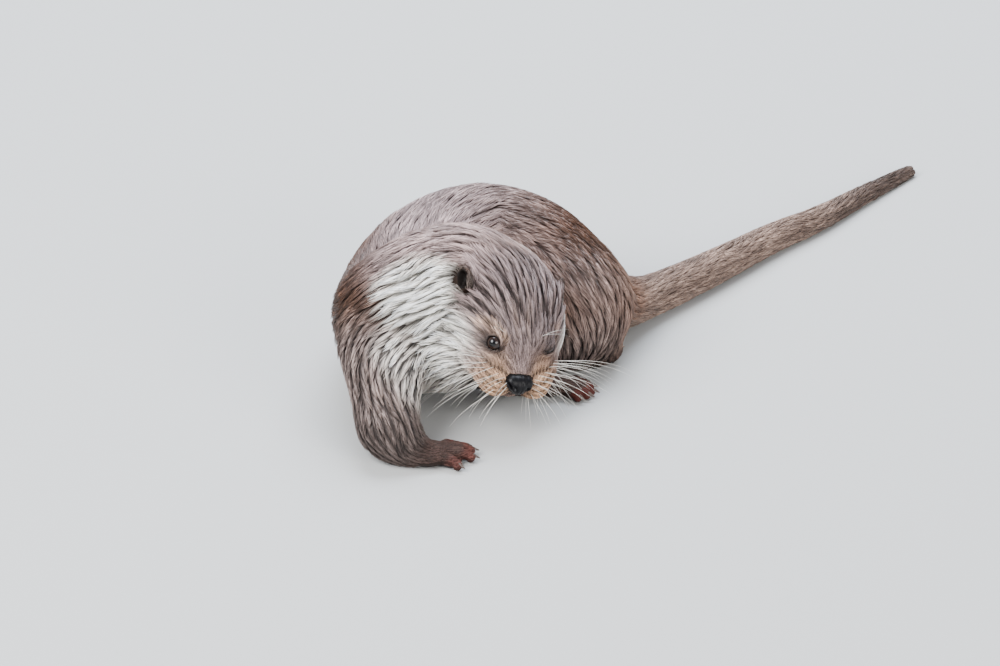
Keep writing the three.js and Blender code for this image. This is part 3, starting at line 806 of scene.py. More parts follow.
def ripple(p, length, seed):
    """A smooth irregular wave between -1 and 1."""
    own = np.random.default_rng(seed)
    total = 0
    for k in range(5):
        way = unit(own.normal(size=3)) * (2 * math.pi / length) * (0.6 + 0.3 * k)
        total = total + np.sin(p @ way + own.uniform(0, 6.28)) / (1 + 0.5 * k)
    return total / 2.6


def blend(a, b, t):
    """Colours between a and b, which are one colour or a row of them."""
    return a + (b - a) * t[:, None]


def from_middle(p, middle, half):
    """Distance from the middle of an oval, which reaches 1 at its edge."""
    return np.sqrt((((p - middle) / half) ** 2).sum(1))


def cheek_side(p):
    """How far points are in the pale band that runs back from the right cheek over the side of the neck."""
    wave = 0.09 * ripple(p, 40, 3) + 0.06 * ripple(p, 18, 13)
    neck = from_middle(p, [-63, 18, 135], [42, 40, 38]) + wave
    cheek = from_middle(p, [-42, 8, 90], [36, 44, 48]) + wave
    return np.maximum(1 - step(neck, 0.6, 1.15), 0.95 - 0.95 * step(cheek, 0.5, 1.1))


# Paws with bare or reddish toe ends, and the distances at which that starts to fade and is gone.
BARE_TOES = ("fore_left", 5.5, 9.5)
RED_WEB = ("fore_right", 6, 15)


def near_toes(p, paw, whole, none):
    """How near points are to the ends of a paw's toes, from 1 at a distance down to 0 at another."""
    nearest = np.min([np.linalg.norm(p - toe[2], axis=1) for toe in toes_of(PAWS[paw])], 0)
    return 1 - step(nearest, whole, none)


def chest_side(p):
    """How far points are in the paler fur from the throat down the outside of the right foreleg."""
    off = from_middle(p, [-78, -16, 84], [38, 40, 54]) + 0.12 * ripple(p, 46, 23)
    return 1 - step(off, 0.4, 1.15)


def whisker_spots(q):
    """Dark spots in rows on the whisker pads, one at each whisker's root."""
    row = (0.5 - q[:, 2]) / PAD_ROW
    column = (np.abs(q[:, 0]) - 10 - 0.5 * row) / PAD_COLUMN
    return hump((row - np.round(row)) / 0.27, (column - np.round(column)) / 0.5)


def trunk_colours_and_painted_light(p, normal, pale_side):
    """Grey-brown over the back, browner to the rear, with a pale side to the neck and chest. Fur that faces
    up carries a painted cool sheen, the low rear flank is painted lighter as painted fill light, and the far
    left side is darker, partly browner fur and partly painted shade.
    """
    warm = step(p[:, 0], -60, 70) * step(p[:, 1], 60, 190)
    # Fur that faces up is painted paler and cooler: a painted sky sheen.
    top = step(normal[:, 2], 0.4, 0.95)
    colour = blend(BACK * 0.76, FLANK * 0.4, warm)
    colour = blend(colour, PAINTED_SHEEN, top * (0.9 - 0.85 * warm))
    # Painted light: the low rear flank is painted much lighter where the body shades it.
    colour = blend(colour, FLANK * 1.9, warm * (1 - step(p[:, 2], 50, 112)))
    # The far left side is darker and browner: partly browner fur, partly painted shade.
    outside = step(-p[:, 0], 92, 124) * step(p[:, 2], 40, 90)
    colour = blend(colour, FLANK * 0.42, outside * (1 - 0.5 * top))
    colour = blend(colour, BELLY, step(-normal[:, 2], 0.1, 0.7) * 0.8)
    return blend(colour, CREAM, pale_side)


def round_eye(colour, p, side):
    """Adds the pale ring, dark brow, dark corner and dark lids of an eye to the head's colours."""
    u, v, w = in_eye(p, side).T
    above = w > -2
    ring = np.hypot(u / 1.5, v) - 9.0 + 2.0 * ripple(p, 13, 4)
    strength = (0.3 if side < 0 else 0.15) * (1 - 0.8 * step(v, 0, 5))
    colour = blend(colour, TAN * 0.8, strength * hump(ring / 3.2) * above)
    brow = hump(u / 10, (v - 6) / 6) * above
    colour = colour * (1 - 0.5 * brow)[:, None]
    dark = 0.8 * hump(np.hypot((u + 10) / 5, v / 2.4))
    if side < 0:
        dark = np.maximum(dark, 0.75 * hump(np.abs(eye_gap(u, v) - 1.0) / 2.0) * step(v, -1, 3))
    else:
        # The dark line along the closed slit is partly the dark lid edge and partly painted shade in the
        # crease.
        dark = np.maximum(dark, 0.9 * hump(closed_slit(u, v) / 1.3))
    return blend(colour, LID, dark * above)


def head_colours(p):
    """A dark crown, pale cheeks and throat, tan pads with dark spots, and the marks round the eyes."""
    q = to_head(p)
    x, y, z = np.abs(q[:, 0]), q[:, 1], q[:, 2]
    colour = blend(CROWN, BACK, step(-y, 95, 135))
    face = (1 - step(x, 12, 30)) * (1 - step(-y, 65, 100)) * step(z, -4, 8)
    colour = colour * (1 - 0.22 * face)[:, None]
    for side in (-1, 1):
        colour[over_ear(p, side, (14, 17))] *= 0.6
    low_side = step(-(z - 0.30 * (x - 20)), -5, 10) * step(x, 12, 30) * step(-y, 30, 52)
    colour = blend(colour, CREAM, low_side)
    colour = blend(colour, THROAT_FUR, step(-z, 22, 34))
    pad = hump((x - 20) / 15, (y + 14) / 20, (z + 8) / 13)
    colour = blend(colour, TAN, np.clip(pad * 1.4, 0, 0.92))
    colour = blend(colour, BRIDGE, hump(x / 12, (y + 22) / 14) * step(z, 0, 8) * 0.8)
    for side in (-1, 1):
        colour = round_eye(colour, p, side)
    crease = hump((x - 5) / 2.6, (y + 50) / 12) * (z > 0)
    colour = blend(colour, TAN * 0.6, 0.12 * crease)
    return blend(colour, LID, 0.95 * whisker_spots(q) * np.clip(pad * 4, 0, 1))


def markings_and_painted_light(p, normal, weights):
    """The coat's colour at points of the body, the same for the skin and the hair, with the painted sheen,
    light and shade of the trunk.
    """
    pale_side = np.maximum(cheek_side(p), chest_side(p) * 0.45)
    shin = 0.5 + 0.5 * step(p[:, 2], 18, 64)
    bare_toes = near_toes(p, *BARE_TOES)
    red_web = near_toes(p, *RED_WEB)
    colours = {
        "trunk": trunk_colours_and_painted_light(p, normal, pale_side),
        "throat": blend(THROAT_FUR, CREAM, cheek_side(p)),
        "tail": blend(TAIL_FUR, TAIL_FUR * 0.42, step(p[:, 0], 290, 385)),
        "head": head_colours(p),
        "ear": EAR_DARK,
        "upper_leg": blend(LEG * shin[:, None], CREAM, pale_side),
        "lower_leg": LEG * 0.22,
        "paw": blend(PAW_FUR, WEB, bare_toes * 0.7 + 0.3 * red_web),
    }
    total = sum(colours[region] * weights[:, [k]] for k, region in enumerate(REGIONS))
    return total * (1 + 0.14 * ripple(p, 70, 5) + 0.08 * ripple(p, 24, 6))[:, None]


# ---------------------------------------------------------------- the unwrap

# Rectangles of the unwrap for each length of the body: left, bottom, width, height.
CHARTS = {
    "trunk": (0.01, 0.01, 0.98, 0.40),
    "throat": (0.01, 0.43, 0.22, 0.22),
    "tail": (0.25, 0.43, 0.74, 0.13),
    "head": (0.25, 0.58, 0.30, 0.30),
    "ear_left": (0.57, 0.58, 0.05, 0.05),
    "ear_right": (0.64, 0.58, 0.05, 0.05),
    "fore_right": (0.01, 0.67, 0.22, 0.15),
    "fore_left": (0.01, 0.84, 0.22, 0.15),
    "hind_left": (0.57, 0.65, 0.20, 0.15),
    "hind_right": (0.79, 0.65, 0.20, 0.15),
    "paw_fore_right": (0.25, 0.90, 0.09, 0.09),
    "paw_fore_left": (0.36, 0.90, 0.09, 0.09),
    "paw_hind_left": (0.47, 0.90, 0.09, 0.09),
    "paw_hind_right": (0.58, 0.90, 0.09, 0.09),
}


def around(offset, way, up):
    """Turn about a direction, from -0.5 to 0.5, with the seam opposite to up."""
    side = unit(np.cross(way, up))
    top = np.cross(side, way)
    return np.arctan2((offset * side).sum(-1), (offset * top).sum(-1)) / (2 * math.pi)


def chart_places(p, name):
    """Distance to a chart's own flesh, and the place of each point in its rectangle, 0 to 1 each way."""
    lines = {**BODY_LINES, **{leg: [upper_legs[leg], lower_legs[leg]] for leg in LEGS}}
    if name in lines:
        up = np.array([0.0, 0.0, 1.0] if name in BODY_LINES else [0.8, -0.5, 0.3])
        best = np.full(len(p), 1e9)
        place = np.zeros((len(p), 2))
        total = sum(line.length[-1] for line in lines[name])
        done = 0.0
        for line in lines[name]:
            d, where, way, middle = line.nearest(p)
            turn = around(p - middle, way, up)
            closer = d < best
            best[closer] = d[closer]
            place[closer] = np.stack([(done + where) / total, turn + 0.5], 1)[closer]
            done += line.length[-1]
        return best, place
    if name == "head":
        q = to_head(p)
        turn = np.arctan2(q[:, 0], q[:, 2] + 8) / (2 * math.pi)
        return head_field(p, False), np.stack([np.clip((q[:, 1] + 142) / 150, 0, 1), turn + 0.5], 1)
    if name.startswith("ear"):
        side = 1 if name == "ear_left" else -1
        return ear_field(p, side, False) - 1, np.clip(in_ear(p, side)[:, [0, 2]] / 30 + 0.5, 0, 1)
    paw = PAWS[name[4:]]
    low, high = paw_limits(paw, 10)
    return paw_distance(p, paw) - 4, np.clip(((p - low) / (high - low))[:, :2], 0, 1)


def unwrap(p, corners=None):
    """Places on the unwrap. With corners, (n, 3, 3) points of triangles around p, one place per corner."""
    names = list(CHARTS)
    found = [chart_places(p, name) for name in names]
    nearest = np.argmin([d for d, _ in found], 0)
    places = np.zeros((len(p), 2)) if corners is None else np.zeros((len(p), 3, 2))
    for k, name in enumerate(names):
        mine = nearest == k
        if not mine.any():
            continue
        own = found[k][1][mine]
        if corners is not None:
            flat = chart_places(corners[mine].reshape(-1, 3), name)[1].reshape(-1, 3, 2)
            for axis in (0, 1):
                gap = flat[..., axis] - own[:, None, axis]
                if axis == 1 and not name.startswith(("ear", "paw")):
                    flat[..., axis] -= np.round(gap)
                else:
                    flat[..., axis] = own[:, None, axis] + np.clip(gap, -0.05, 0.05)
            own = flat
        left, bottom, width, height = CHARTS[name]
        places[mine] = np.array([left, bottom]) + np.clip(own, 0, 1) * [width, height]
    return places


# ---------------------------------------------------------------- materials


def new_material(name):
    material = bpy.data.materials.new(name)
    material.use_nodes = True
    nodes = material.node_tree.nodes
    return material, nodes, material.node_tree.links, nodes["Principled BSDF"]


def set_inputs(node, values):
    for name, value in values.items():
        node.inputs[name].default_value = value
    return node


def raise_spots(material, noise, strength, depth):
    """Bumps on a material where a noise is high."""
    nodes, links = material.node_tree.nodes, material.node_tree.links
    bump = set_inputs(nodes.new("ShaderNodeBump"), {"Strength": strength, "Distance": depth})
    links.new(noise.outputs["Fac"], bump.inputs["Height"])
    links.new(bump.outputs["Normal"], nodes["Principled BSDF"].inputs["Normal"])


def coat_material(name, darkness, roughness, specular, bump=0):
    """Fur or skin that takes its colour from the piece's own markings, broken up by fine noise."""
    material, nodes, links, shader = new_material(name)
    own = nodes.new("ShaderNodeAttribute")
    own.attribute_name = "markings_and_painted_light"
    noise = set_inputs(nodes.new("ShaderNodeTexNoise"), {"Scale": 900, "Detail": 3})
    limits = {"To Min": darkness * 0.82, "To Max": darkness * 1.18}
    scale = set_inputs(nodes.new("ShaderNodeMapRange"), limits)
    links.new(noise.outputs["Fac"], scale.inputs["Value"])
    mult = nodes.new("ShaderNodeVectorMath")
    mult.operation = "SCALE"
    links.new(own.outputs["Color"], mult.inputs[0])
    links.new(scale.outputs["Result"], mult.inputs["Scale"])
    links.new(mult.outputs["Vector"], shader.inputs["Base Color"])
    set_inputs(shader, {"Roughness": roughness, "Specular IOR Level": specular})
    if bump:
        raise_spots(material, noise, 0.5, bump)
    return material


def speckled_material(name, dark, light, scale, roughness, bump, specular=0.5):
    """A material between two tones in fine irregular spots, raised a little."""
    material, nodes, links, shader = new_material(name)
    noise = set_inputs(nodes.new("ShaderNodeTexNoise"), {"Scale": scale, "Detail": 6})
    ramp = nodes.new("ShaderNodeValToRGB")
    for element, place, colour in zip(ramp.color_ramp.elements, (0.35, 0.68), (dark, light)):
        element.position = place
        element.color = (*colour, 1)
    links.new(noise.outputs["Fac"], ramp.inputs["Fac"])
    links.new(ramp.outputs["Color"], shader.inputs["Base Color"])
    set_inputs(shader, {"Roughness": roughness, "Specular IOR Level": specular})
    raise_spots(material, noise, 0.6, bump)
    return material


def paint(piece, colours):
    """Linear colours on the piece's vertices, as its markings."""
    layer = piece.data.attributes.new("markings_and_painted_light", "FLOAT_COLOR", "POINT")
    four = np.ones((len(colours), 4), np.float32)
    four[:, :3] = np.clip(colours, 0, 1)
    layer.data.foreach_set("color", four.ravel())


def lay_map(piece, corners):
    layer = piece.data.uv_layers.new(name="OFBake")
    layer.data.foreach_set("uv", np.clip(corners, 0.0005, 0.9995).astype(np.float32).ravel())


def finish_piece(piece, material):
    piece.data.materials.append(material)
    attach(piece, "root")


# ---------------------------------------------------------------- the skin

FLESH = [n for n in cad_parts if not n.startswith(("claw", "eye", "nose"))]
points, triangles = skin_mesh()
normals = skin_field.normal(points)
skin_weights, _ = survey(points)
skin = mesh_object("skin", points, triangles)
skin_colour = markings_and_painted_light(points, normals, skin_weights)


def skin_marks_and_ear_shade(p, colour):
    """Dark lids and lips on the skin itself, and painted shade on the bare skin of the ears, darkest deep in
    their cups.
    """
    for side in (-1, 1):
        u, v, w = in_eye(p, side).T
        rim = np.abs(eye_gap(u, v)) if side < 0 else closed_slit(u, v)
        colour = blend(colour, LID * 0.5, hump(rim / 2.4) * (w > 1))
        # Painted shade: the bare skin over the ear is darkened, and darker still deep inside its cup.
        colour[over_ear(p, side, (10.5, 13.5))] = EAR_DARK * 1.6
        colour[over_ear(p, side, (6.2, 9.2)) & (in_ear(p, side)[:, 1] < 4.4)] = EAR_DARK * 0.4
    x, y, z = to_head(p).T
    dark = hump((z + 18.0) / 1.4) * (y > -46) * (np.abs(x) < 34)
    dark = np.maximum(dark, 1 - step(nose_field(p), 0.8, 2.4))
    return blend(colour, LID * 0.6, dark)


paint(skin, skin_marks_and_ear_shade(points, skin_colour))
lay_map(skin, unwrap(points[triangles].mean(1), points[triangles]).reshape(-1, 2))
# The skin is darkened to 0.30 of its colours: partly the darker wet underfur, partly painted shade in the
# gaps between clumps.
finish_piece(skin, coat_material("wet_skin", 0.30, 0.55, 0.12, 0.0004))
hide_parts(*FLESH)

# ---------------------------------------------------------------- the coat

SHARES = (0.0, 0.5, 1.0)
STRANDS_A_PIECE = 19000
# How many times longer than wide a wet clump is.
CLUMP_STRETCH = 3.2
# Distance between the clumps that others draw towards, and from a clump's middle to its edge, both as
# multiples of the distance between clumps.
CHIEF_REACH = 2.2
CLUMP_EDGE = 0.29
# How closely the strands follow their lock at its root, halfway and at its end.
PULL = np.array([0.0, 0.78, 0.92])
# Width of a strand as a part of the distance between locks, and how high its ridge stands for its width.
STRAND_WIDTH = 0.54
RIDGE_HEIGHT = 0.42
# How deep its root goes under the skin, and the least height of its points over the floor.
ROOT_DEPTH = 0.4
FLOOR_GAP = 0.1
# Size of a strand's own patch on the unwrap, and where its seven points lie in the patch.
STRAND_PATCH = 0.003
BLADE_MAP = np.array([(0, 0), (0.5, 0), (1, 0), (0, 0.5), (0.5, 0.5), (1, 0.5), (0.5, 1)])
# Its triangles: two to each of three sides, three to its point, and a closed root.
BLADE = []
for i, j in ((0, 1), (1, 2), (2, 0)):
    BLADE += [(i, j, 3 + j), (i, 3 + j, 3 + i), (3 + i, 3 + j, 6)]
BLADE = np.array(BLADE + [(0, 2, 1)])

# The coat by region: length of the hair, distance between locks and between the wet points that they draw
# together in, all in mm, how far they draw together, how high they stand in the coat, and how pale their
# roots are.
# The last number darkens the roots: partly the darker underfur, partly painted shade deep in the coat.
COAT = {
    "trunk": (23.0, 1.9, 10.0, 0.58, 0.70, 0.46),
    "throat": (17.0, 2.0, 10.0, 0.88, 0.90, 0.26),
    "tail": (14.0, 1.8, 6.5, 0.40, 0.50, 0.55),
    "ear": (3.2, 1.0, 2.5, 0.20, 0.80, 0.50),
    "upper_leg": (18.0, 1.9, 11.0, 0.86, 0.85, 0.30),
    "lower_leg": (9.0, 1.5, 6.0, 0.60, 0.65, 0.35),
    "paw": (2.8, 1.05, 2.5, 0.30, 0.60, 0.40),
}
MUZZLE_COAT = (2.2, 0.8, 2.4, 0.25, 0.60, 0.70)
CROWN_COAT = (24.0, 1.4, 9.5, 0.95, 0.95, 0.16)
NAPE_COAT = (22.0, 1.7, 10.0, 0.92, 1.0, 0.42)


def coat_style(p, weights):
    """The numbers of the coat at points, between those of the regions they belong to."""
    style = np.zeros((len(p), len(NAPE_COAT)))
    for k, region in enumerate(REGIONS):
        if region == "head":
            q = to_head(p)
            back = step(-q[:, 1] + 0.25 * q[:, 2], 22, 72)[:, None]
            low = step(-q[:, 2] + 0.2 * np.abs(q[:, 0]), 0, 22)[:, None]
            own = np.array(MUZZLE_COAT) * (1 - back) + np.array(CROWN_COAT) * back
            own = own * (1 - low * back) + np.array(NAPE_COAT) * low * back
        else:
            own = np.array(COAT[region])
        if region == "trunk":
            side = cheek_side(p)[:, None]
            own = own * (1 - side) + np.array(NAPE_COAT) * side
        style += weights[:, k, None] * own
    return style


def over_eye(p, open_margin, shut_margin, low, high):
    """Whether points lie over the open eye or the slit of the closed one, between two heights."""
    over = np.zeros(len(p), bool)
    for side, lids, margin in ((-1, eye_gap, open_margin), (1, closed_slit, shut_margin)):
        u, v, w = in_eye(p, side).T
        over |= (lids(u, v) < margin) & (w > low) & (w < high)
    return over


def bare(p, normal, weights):
    """Where no hair grows: the lids, nose, cup of the ears, soles, some toes and what lies on the floor."""
    off = (nose_field(p) < 0.2) | over_eye(p, 0.9, 1.3, 1, 16)
    for side in (-1, 1):
        off |= over_ear(p, side, (5.6, 8.6)) & (in_ear(p, side)[:, 1] > -4)
    paw = weights[:, INDEX["paw"]] > 0.5
    bare_toes = near_toes(p, *BARE_TOES) > rng.uniform(0.3, 1.0, len(p))
    off |= paw & ((normal[:, 2] < 0.0) | bare_toes)
    off |= (p[:, 2] < 1.2) & (normal[:, 2] < -0.7)
    return off


def blocked(path, own):
    """Whether hairs would run over an eye, or over an ear that they don't grow on."""
    points = path.reshape(-1, 3)
    over = over_eye(points, 0.2, 0.7, 4, 18).reshape(len(path), -1).any(0)
    for side in (-1, 1):
        wide = over_ear(points, side, (6.8, 10.4)).reshape(len(path), -1).any(0)
        cup = over_ear(points, side, (5.4, 8.4)).reshape(len(path), -1).any(0)
        over |= np.where(own, cup, wide)
    return over


def filled_tree(points, chosen):
    """A search tree of the chosen ones of some points, under their own indices."""
    tree = kdtree.KDTree(len(chosen))
    for i in chosen:
        tree.insert(points[i], i)
    tree.balance()
    return tree


def thinned(points, reach):
    """Indices of points that are further apart than reach."""
    places = points.tolist()
    tree = filled_tree(places, range(len(places)))
    taken = [False] * len(places)
    kept = []
    for i, (place, own_reach) in enumerate(zip(places, reach.tolist())):
        if taken[i]:
            continue
        kept.append(i)
        for _, j, _ in tree.find_range(place, own_reach):
            taken[j] = True
    return np.array(kept)


def scatter(points, triangles, spacing, share=4):
    """Points spread evenly over the skin. spacing is their distance apart at each vertex."""
    a, b, c = (points[triangles[:, i]] for i in range(3))
    area = np.linalg.norm(np.cross(b - a, c - a), axis=1) / 2
    apart = spacing[triangles].mean(1)
    chance = area / apart**2
    count = int(chance.sum() * share)
    pick = rng.choice(len(triangles), count, p=chance / chance.sum())
    s, t = rng.random((2, count))
    over = s + t > 1
    s[over], t[over] = 1 - s[over], 1 - t[over]
    found = a[pick] + (b - a)[pick] * s[:, None] + (c - a)[pick] * t[:, None]
    return found[thinned(found, apart[pick] * 0.84)]


def parted(v, way):
    """The parts of vectors across a direction and along it."""
    along = way * (v * way).sum(1, keepdims=True)
    return v - along, along


def march(root, way, length, heights, turn):
    """Points along hairs that lie over the skin: (shares, n, 3), with the skin's normals there."""
    p = root.copy()
    normal = skin_field.normal(p)
    path, normals = [], []
    for k, share in enumerate(SHARES):
        stride = share - SHARES[k - 1] if k else 0
        for _ in range(2 if k else 1):
            side = np.cross(normal, way)
            way = unit(way + side * turn[:, None] * (k > 0))
            p = p + way * (length * stride / 2)[:, None]
            value = skin_field.read(p)
            slope = skin_field.slope(p)
            size = np.linalg.norm(slope, axis=1)
            normal = slope / np.maximum(size, 1e-6)[:, None]
            p = p + normal * np.clip((heights[k] - value) / np.maximum(size, 0.4), -6, 6)[:, None]
            way = unit(parted(way, normal)[0])
        path.append(p)
        normals.append(normal)
    return np.array(path), np.array(normals)


def nearest_of(points, chosen, way):
    """For each point, the index of the nearest chosen one. Distance along the coat counts for less."""
    places = points.tolist()
    tree = filled_tree(places, chosen.tolist())
    found = np.array([[i for _, i, _ in tree.find_n(place, 9)] for place in places])
    gap = points[found] - points[:, None]
    along = (gap * way[:, None]).sum(-1)
    apart = (gap * gap).sum(-1) - along * along * (1 - 1 / CLUMP_STRETCH**2)
    return found[np.arange(len(points)), apart.argmin(1)]


def sparser(normal):
    """How much further apart locks grow on the underside, where few of them are seen."""
    return 1 + 0.8 * step(-normal[:, 2], 0.35, 0.8)


on_head = skin_weights[:, INDEX["head"]] >= 0.5
apart = coat_style(points, skin_weights)[:, 1] * np.where(on_head, 1, sparser(normals))
centres = scatter(points, triangles, apart)
weights, lie = survey(centres)
normal = skin_field.normal(centres)
keep = ~bare(centres, normal, weights)
centres, weights, lie, normal = centres[keep], weights[keep], lie[keep], normal[keep]

length, spacing, clump, wet, lift, root_shade = coat_style(centres, weights).T
spacing = spacing * sparser(normal)
beside_ear = over_ear(centres, -1, (17, 20)) | over_ear(centres, 1, (17, 20))
wet = np.where(beside_ear, wet * 0.6, wet)
length = length * rng.uniform(0.75, 1.2, len(centres))
lie = unit(parted(lie, normal)[0])
side = np.cross(normal, lie)
swirl = 0.20 * ripple(centres, 80, 8) + 0.12 * ripple(centres, 26, 9) + rng.normal(0, 0.05, len(centres))
swirl = swirl * (0.35 + 0.65 * step(length, 3, 12))
lie = unit(lie + side * swirl[:, None])
side = np.cross(normal, lie)


def coat_depth(p, weights):
    """Depth of the coat over the skin."""
    own = {
        "trunk": TRUNK_COAT,
        "throat": TRUNK_COAT,
        "tail": TAIL_COAT,
        "head": 0.9 + 3.2 * step(-to_head(p)[:, 1], 18, 95),
        "ear": 0.7,
        "upper_leg": UPPER_LEG_COAT,
        "lower_leg": LOWER_LEG_COAT,
        "paw": PAW_COAT,
    }
    return sum(own[name] * weights[:, k] for k, name in enumerate(REGIONS))


# Wet points: locks draw in to the line of the one at the middle of their own clump, which is long and narrow,
# and clumps draw a little towards others.
leaders = thinned(centres, clump * rng.uniform(0.6, 1.1, len(centres)))
leader = nearest_of(centres, leaders, lie)
chiefs = leaders[thinned(centres[leaders], clump[leaders] * CHIEF_REACH)]
chief = nearest_of(centres, chiefs, lie)
off_line, _ = parted(centres - centres[leader], lie)
edge = np.clip(np.linalg.norm(off_line, axis=1) / (CLUMP_EDGE * clump), 0, 1) * wet

rise = coat_depth(centres, weights) * lift * rng.uniform(0.85, 1.1, len(centres)) * (1.12 - 0.5 * edge)
turn = rng.normal(0, 0.04, len(centres)) + 0.08 * ripple(centres, 34, 10)
heights = [rise * 0, rise * (0.78 - 0.45 * edge), rise]
lock_path, _ = march(centres, lie, length, heights, turn)
gather = wet * (0.95 + 0.25 * ripple(centres, 50, 12))
for k, share in enumerate(SHARES):
    amount = np.clip(gather * share**0.5, 0, 0.94)[:, None]
    across, down = parted(lock_path[k][leader] - lock_path[k], lie)
    lock_path[k] += across * amount + down * amount * 0.3 * share
    across, _ = parted(lock_path[k][chief] - lock_path[k], lie)
    lock_path[k] += across * amount * 0.2 * share

# Two strands to a lock, on opposite sides of its root.
owner = np.repeat(np.arange(len(centres)), 2)
seed = rng.uniform(0, 2 * math.pi, len(centres))[owner] + math.pi * (np.arange(len(owner)) % 2)
reach = spacing[owner] * rng.uniform(0.25, 0.62, len(owner))
offset = side[owner] * (np.cos(seed) * reach)[:, None] + lie[owner] * (np.sin(seed) * reach)[:, None]
roots = skin_field.onto(centres[owner] + offset, 2)
strand_length = length[owner] * rng.uniform(0.8, 1.05, len(owner))
strand_heights = [h[owner] * rng.uniform(0.8, 1.12, len(owner)) for h in heights]
strand_heights[0] = strand_heights[0] - ROOT_DEPTH
path, strand_normals = march(roots, lie[owner], strand_length, strand_heights, turn[owner])
strands = path + (lock_path[:, owner] - path) * PULL[:, None, None]
free = ~blocked(strands, weights[owner, INDEX["ear"]] > 0.5)
owner, roots, strands, strand_normals = owner[free], roots[free], strands[:, free], strand_normals[:, free]

# Each strand is a ridged blade: two edges and a raised middle at its root and halfway, and a point.
tangent = np.gradient(strands, axis=0)
across = unit(np.cross(strand_normals, tangent))
width = STRAND_WIDTH * spacing[owner] * rng.uniform(0.8, 1.2, len(owner))
width = (width * (1.1 - 0.3 * edge[owner]))[:, None]
rows = []
for k, share in enumerate((0.8, 1.0)):
    half = across[k] * width * share / 2
    ridge = unit(strand_normals[k]) * width * share * RIDGE_HEIGHT
    rows += [strands[k] - half, strands[k] + ridge, strands[k] + half]
rows.append(strands[2])
blade = np.stack(rows, 1)
blade[..., 2] = np.maximum(blade[..., 2], FLOOR_GAP)

# Each clump and each strand is a little lighter or darker than the coat's colours at its root, and paler
# towards its tip.
# Strands at a clump's edge are darker: painted shade in the gaps between wet clumps.
tone = markings_and_painted_light(roots, normal[owner], weights[owner])
tone = tone * np.exp(rng.normal(0, 0.09, len(centres)))[chief][owner][:, None]
tone = tone * np.exp(rng.normal(0, 0.19, len(centres)))[leader][owner][:, None]
tone = tone * np.exp(rng.normal(0, 0.10, len(owner)))[:, None]
tone = tone * (1.26 - 0.32 * edge[owner])[:, None]
edge = edge * (1 - 0.25 * cheek_side(centres))
# Roots are darker, partly the darker underfur and partly painted shade deep in the coat; each blade's middle
# ridge is painted lighter than its two edges, a painted highlight.
pale = (root_shade * (1 - 0.7 * edge))[owner][:, None] * np.array([1.0, 1.2, 1.0])
half = (1 - 0.75 * edge)[owner][:, None] * np.array([0.76, 1.0, 0.76])
# Tips are brighter the wetter the coat: partly paler hair ends, partly a painted highlight on the wet clumps.
shade = np.hstack([pale, half, (1.08 + 0.42 * wet)[owner][:, None]])
coat_colour = np.minimum(tone[:, None, :] * shade[:, :, None], 0.97)
coat_map = unwrap(roots)[:, None, :] + (BLADE_MAP - 0.5) * STRAND_PATCH

fur = coat_material("wet_fur", 1.0, 0.42, 0.2)
region = weights[owner].argmax(1)
for k, name in enumerate(REGIONS):
    members = np.flatnonzero(region == k)
    members = members[np.argsort(roots[members, 0] + 0.7 * roots[members, 1])]
    for number, start in enumerate(range(0, len(members), STRANDS_A_PIECE)):
        some = members[start : start + STRANDS_A_PIECE]
        faces = (BLADE[None] + (np.arange(len(some)) * len(BLADE_MAP))[:, None, None]).reshape(-1, 3)
        piece = mesh_object(f"coat_{name}_{number + 1}", blade[some].reshape(-1, 3), faces)
        paint(piece, coat_colour[some].reshape(-1, 3))
        lay_map(piece, coat_map[some][:, BLADE].reshape(-1, 2))
        finish_piece(piece, fur)

# ---------------------------------------------------------------- nose, eyes, claws and whiskers

NOSE_CELL = 0.45
NOSE_REACH = 18
# Angles from the middle of the cornea to the edges of the pupil and the iris, in radians.
PUPIL_EDGE = 0.42
IRIS_EDGE = 0.85

nose_middle = from_head(NOSE_AT)
nose_grid = Grid(nose_middle - NOSE_REACH, nose_middle + NOSE_REACH, NOSE_CELL)
_, nose_points = nose_grid.window(nose_grid.low, nose_middle + NOSE_REACH)
nose = mesh_object("nose_leather", *surface_of(nose_field(nose_points), nose_grid.low, NOSE_CELL))
leather = speckled_material("nose_leather", srgb(4, 4, 5), srgb(17, 15, 18), 1600, 0.30, 0.00016, 0.16)
finish_piece(nose, leather)
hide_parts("nose")


def eyeball(name, side):
    """An eyeball with a slightly raised cornea. Its colours run out from the pupil."""
    centre, along, across, out = eye_frame(side)
    rings, spokes = 24, 36
    vertices = []
    for i in range(rings + 1):
        polar = math.pi * i / rings
        bulge = 0.55 * math.exp(-((polar / 0.55) ** 2))
        radius = EYE_RADIUS * SCALE + bulge
        for j in range(spokes):
            turn = 2 * math.pi * j / spokes
            ring = along * math.cos(turn) + across * math.sin(turn)
            vertices.append(centre + radius * (out * math.cos(polar) + ring * math.sin(polar)))
    faces = []
    for start in range(0, rings * spokes, spokes):
        for j in range(spokes):
            a, b = start + j, start + (j + 1) % spokes
            faces.append((a, a + spokes, b + spokes, b))
    piece = mesh_object(name, np.array(vertices), faces)
    polar = np.repeat(np.arange(rings + 1) * math.pi / rings, spokes)
    colours = np.where((polar < PUPIL_EDGE)[:, None], srgb(5, 4, 5), srgb(34, 22, 17))
    colours = np.where((polar > IRIS_EDGE)[:, None], srgb(16, 12, 12), colours)
    paint(piece, colours)
    return piece


eye_material = coat_material("wet_eye", 1.0, 0.03, 0.4)
for name, side in (("eye_left", 1), ("eye_right", -1)):
    ball = eyeball(f"{name}_ball", side)
    finish_piece(ball, eye_material)
    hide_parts(name)

claw = speckled_material("claw_horn", srgb(44, 34, 30), srgb(96, 78, 68), 500, 0.4, 0.0002)
for name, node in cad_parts.items():
    if name.startswith("claw"):
        node.data.materials.clear()
        node.data.materials.append(claw)


